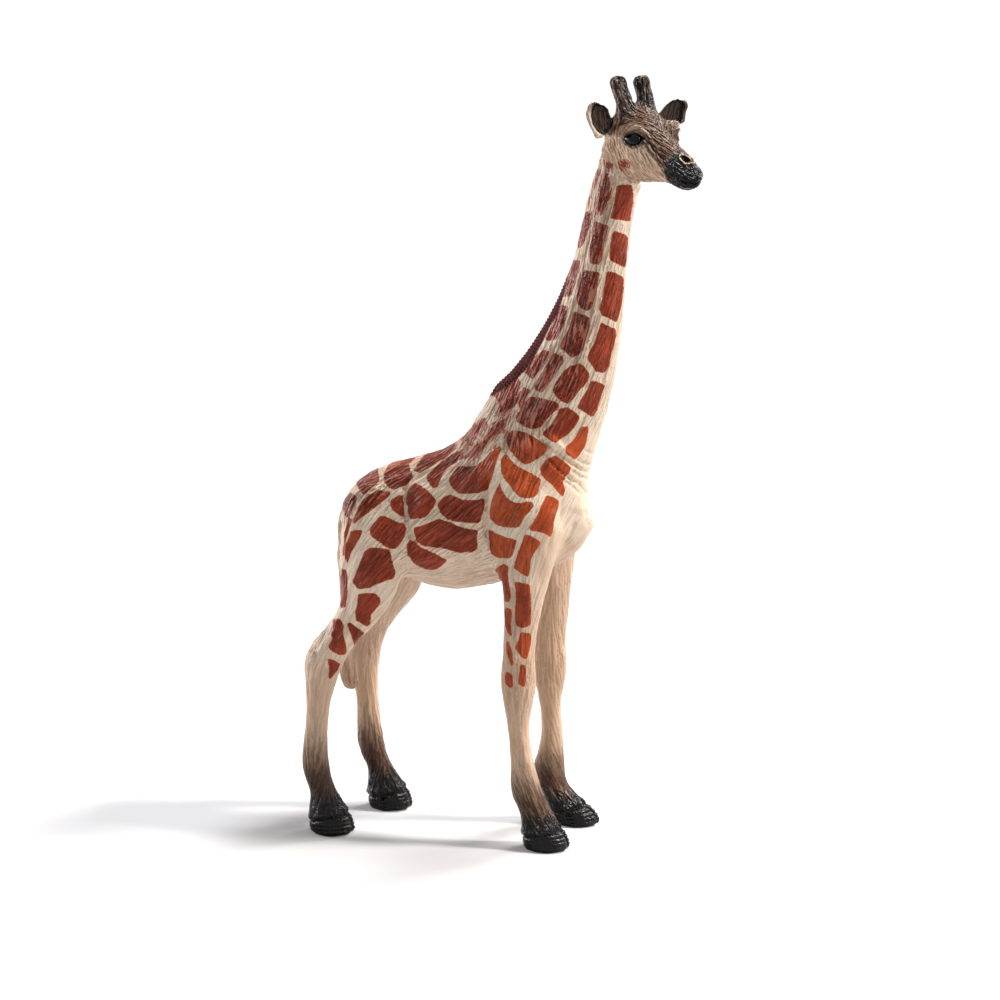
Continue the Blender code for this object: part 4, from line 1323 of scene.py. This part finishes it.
w.link(bump.outputs["Normal"], out["Normal"])
w.link(groove, out["Groove"])

w, given, out = new_group("giraffe paint", {"Groove": 0.5, "Wear": 0.5},
                          {"Colour": "Color", "Patches": "Float", "Black": "Float"})
paint_group = w.tree
here = w.place()
keen = w.rest(w.layer("sleek"), 0.85)
rough = w.layer("coarse")
groove = w.plus(0.5, w.swing(given["Groove"], keen))
clouds = w.noise(here, 140, 3)
grain = w.noise(here, 900, 4, 0.65)
speck = w.noise(here, 2600, 3, 0.7)
combed = w.plus(w.times(w.times(w.layer("relief"), 0.35), keen), w.math("SUBTRACT", groove, 0.5))
# darker colour in the hair's grooves and the sculpted creases: partly a wash of paint, partly painted shade
groove_wash_and_shade = w.step(combed, 0.15, -0.6)
raised = w.step(combed, 0.0, 0.75)

lines = w.plus(0.22, w.times(rough, 0.55))
cream = w.mix(w.times(groove_wash_and_shade, lines), CREAM, CREAM_SHADE)
tan_colour = w.mix(w.times(groove_wash_and_shade, 0.4), TAN, TAN_DARK)
tan_share = w.step(w.plus(w.layer("tan"), w.swing(clouds, 0.5)), -0.1, 1.1)
ground = w.mix(tan_share, cream, tan_colour)

fray = w.times(combed, w.plus(0.12, w.times(w.layer("streaky"), 0.85)))
edge = w.plus(w.layer("patch"), w.plus(fray, w.swing(grain, 0.22)))
patch_share = w.step(edge, -0.07, 0.06)
mottle = w.step(w.plus(clouds, w.times(grain, 0.4)), 0.45, 0.95)
patch_colour = w.mix(mottle, PATCH_COLOUR, PATCH_DARK)
# painted light: brighter patches where the sun falls on shoulder, chest and forelegs
patch_colour = w.mix(w.times(w.layer("warm"), w.rest(mottle, 0.6)), patch_colour, PATCH_PAINTED_LIGHT)
patch_colour = w.mix(w.times(groove_wash_and_shade, w.plus(lines, 0.1)), patch_colour, PATCH_DEEP)
# painted highlight: pale glints painted on the raised hair, most where the hair is coarse
glint = w.times(w.plus(0.06, w.times(rough, 0.26)), w.step(combed, 0.2, 0.6))
patch_colour = w.mix(glint, patch_colour, PATCH_GLINT)
patch_colour = w.mix(w.times(w.rest(w.step(edge, 0.0, 0.22)), 0.7), patch_colour, PATCH_RIM)
coloured = w.mix(patch_share, ground, patch_colour)


def washed(name, wash, full, least):
    """How much of a sprayed paint covers the ground. It runs into the grooves, and never where none is sprayed."""
    amount = w.layer(name)
    return w.times(w.step(w.plus(amount, w.swing(groove, -wash)), 0.0, full), w.step(amount, 0.0, least))


brown_colour = w.mix(w.layer("mane"), w.mix(raised, BROWN, BROWN_LIGHT), MANE_COLOUR)
coloured = w.mix(washed("brown", 0.35, 0.95, 0.12), coloured, brown_colour)
black_share = washed("black", 0.4, 0.9, 0.1)
worn = w.times(w.times(raised, w.step(speck, 0.45, 0.7)), given["Wear"])
worn = w.times(worn, w.rest(w.layer("hoof")))
coloured = w.mix(black_share, coloured, w.mix(worn, BLACK, BLACK_WORN))
w.link(coloured, out["Colour"])
w.link(patch_share, out["Patches"])
w.link(black_share, out["Black"])
print("node groups:", hair_group.name, "and", paint_group.name)

# %% [markdown]
# ## Paints
# The coat, the face, the horns and the tail share the sprays and differ in gloss, wear and the coarseness of the
# hair. The patches' brown is a little glossier than the cream, and black is glossiest. The eyes are black lacquer
# with a painted blue-grey reflection on their lower half.

# %% Materials
# for each slot: roughness, roughness where it is black, wear, scale and strength of the hair, and shine
PAINTS = {
    "coat": (0.3, 0.12, 0.5, 2300.0, 0.75, 0.17),
    "face": (0.24, 0.14, 0.3, 2300.0, 0.8, 0.13),
    "horn": (0.26, 0.14, 0.35, 2300.0, 0.8, 0.15),
    "tail": (0.35, 0.3, 0.5, 2100.0, 0.8, 0.25),
}
MANE_ROUGHNESS = 0.45
EYE_REFLECTION_LOW = 9.2
EYE_REFLECTION_HIGH = 10.6


def new_material(name):
    """A material, the inputs of its surface, and wires for its nodes."""
    material = bpy.data.materials.new(name)
    material.use_nodes = True
    return material, material.node_tree.nodes["Principled BSDF"].inputs, Wires(material.node_tree)


def giraffe_paint(name, roughness, black_roughness, wear, hair_scale, hair_strength, shine):
    material, surface, w = new_material(name)
    hairs = w.node("ShaderNodeGroup", node_tree=hair_group)
    w.link(hair_scale, hairs.inputs["Scale"])
    w.link(hair_strength, hairs.inputs["Strength"])
    paint = w.node("ShaderNodeGroup", node_tree=paint_group)
    w.link(wear, paint.inputs["Wear"])
    w.link(hairs.outputs["Groove"], paint.inputs["Groove"])
    black = paint.outputs["Black"]
    gloss = w.plus(roughness - 0.05, w.times(w.noise(w.place(), 260, 3), 0.1))
    gloss = w.math("SUBTRACT", gloss, w.times(paint.outputs["Patches"], 0.05))
    gloss = w.plus(w.times(gloss, w.rest(black)), w.times(black, black_roughness))
    gloss = w.plus(gloss, w.times(w.layer("mane"), MANE_ROUGHNESS))
    w.link(paint.outputs["Colour"], surface["Base Color"])
    w.link(gloss, surface["Roughness"])
    w.link(hairs.outputs["Normal"], surface["Normal"])
    w.link(shine, surface["Specular IOR Level"])
    return material


PAINT_OF = {slot: giraffe_paint(slot + "_paint", *values) for slot, values in PAINTS.items()}

lacquer, surface, w = new_material("eye_lacquer")
# painted reflection: the lower half of each eye is painted blue-grey, the upper half black
level = w.node("ShaderNodeSeparateXYZ", {0: w.place()}).outputs["Z"]
level = w.plus(level, w.times(w.noise(w.place(), 700, 2), 0.0006))
painted_reflection = w.rest(w.step(level, (HEAD_ORIGIN[2] + EYE_REFLECTION_LOW) * MM, (HEAD_ORIGIN[2] + EYE_REFLECTION_HIGH) * MM))
w.link(w.mix(painted_reflection, rgb(3, 3, 4), rgb(22, 27, 34)), surface["Base Color"])
w.link(0.06, surface["Roughness"])
w.link(0.15, surface["Specular IOR Level"])

for node, piece in cut_pieces.items():
    piece.data.materials.clear()
    piece.data.materials.append(PAINT_OF[SLOT_OF[kind_of(node)]])
for eye in eyes:
    eye.data.materials.clear()
    eye.data.materials.append(lacquer)
print("painted", len(cut_pieces) + len(eyes), "pieces")

# %% [markdown]
# ## Light and floor
# A warm sun from the right throws the shadows to the left and draws the bright edge of chest and neck. A panel in
# front, a small one overhead and one behind on either side fill it and draw the pale gleams along the hair. The
# floor is pale and keeps the shadow. Towards the back it gets whiter for the camera alone, as a studio's paper sweep
# does, and camera and glossy rays see a white backdrop.

# %% Stage
FLOOR_SIZE = 60.0
FLOOR_COLOUR = (0.55, 0.55, 0.56, 1)
AIM = np.array(CAMERA_AIM) * MM
FRONTWARD = np.array((-AHEAD[0], -AHEAD[1], 0.0))
FRONTWARD /= np.linalg.norm(FRONTWARD)
WORLD_LEVEL = 0.2
FLOOR_GLOW = 0.48
NEAR_GLOW = 0.07
GLOW_NEAR = 120.0
GLOW_FAR = 850.0
# kind, name, place to the right, in front and above in metres, strength, angle in radians or size in metres, colour
LAMPS = (
    ("SUN", "key_sun", (1.0, 0.09, 1.15), 3.6, math.radians(8), (1.0, 0.955, 0.90)),
    ("AREA", "front_panel", (0.95, 0.6, 0.3), 2.3, 0.12, (1.0, 0.94, 0.88)),
    ("AREA", "top_panel", (0.15, -0.1, 0.48), 2.4, 0.11, (0.96, 0.98, 1.0)),
    ("AREA", "rim_panel", (0.42, -0.4, 0.42), 2.2, 0.16, (1.0, 1.0, 1.0)),
    ("AREA", "back_panel", (-0.66, -0.34, 0.21), 5.2, 0.4, (1.0, 0.95, 0.95)),
)


def from_toy(right, front, up):
    """A place in metres, measured from the toy's middle as the camera sees it."""
    return Vector(AIM + right * RIGHTWARD + front * FRONTWARD + up * np.array((0, 0, 1.0)))


for kind, name, at, strength, spread, colour in LAMPS:
    bpy.ops.object.light_add(type=kind, location=from_toy(*at))
    lamp = bpy.context.active_object
    lamp.name = name
    lamp.data.energy = strength
    setattr(lamp.data, "angle" if kind == "SUN" else "size", spread)
    lamp.data.color = colour
    lamp.rotation_euler = (Vector(AIM) - lamp.location).to_track_quat("-Z", "Y").to_euler()

bpy.ops.mesh.primitive_plane_add(size=FLOOR_SIZE)
floor = bpy.context.active_object
floor.name = "floor"
floor_paint, surface, w = new_material("floor_white")
away = w.node("ShaderNodeVectorMath", {0: w.place()}, operation="LENGTH").outputs["Value"]
glow = w.node("ShaderNodeMapRange", {"Value": away, "From Min": GLOW_NEAR * MM, "From Max": GLOW_FAR * MM,
                                     "To Min": NEAR_GLOW, "To Max": FLOOR_GLOW}).outputs["Result"]
seen = w.node("ShaderNodeLightPath").outputs["Is Camera Ray"]
for title, value in {"Base Color": FLOOR_COLOUR, "Roughness": 0.9, "Specular IOR Level": 0.0,
                     "Emission Color": (1, 1, 1, 1), "Emission Strength": w.times(seen, glow)}.items():
    w.link(value, surface[title])
floor.data.materials.append(floor_paint)

world = bpy.data.worlds.new("studio")
world.use_nodes = True
scene.world = world
w = Wires(world.node_tree)
backdrop = world.node_tree.nodes["Background"].inputs
rays = w.node("ShaderNodeLightPath").outputs
seen = w.math("MAXIMUM", rays["Is Camera Ray"], rays["Is Glossy Ray"])
w.link((1, 1, 1, 1), backdrop["Color"])
w.link(w.plus(WORLD_LEVEL, w.times(seen, 1 - WORLD_LEVEL)), backdrop["Strength"])
scene.view_settings.view_transform = "Standard"
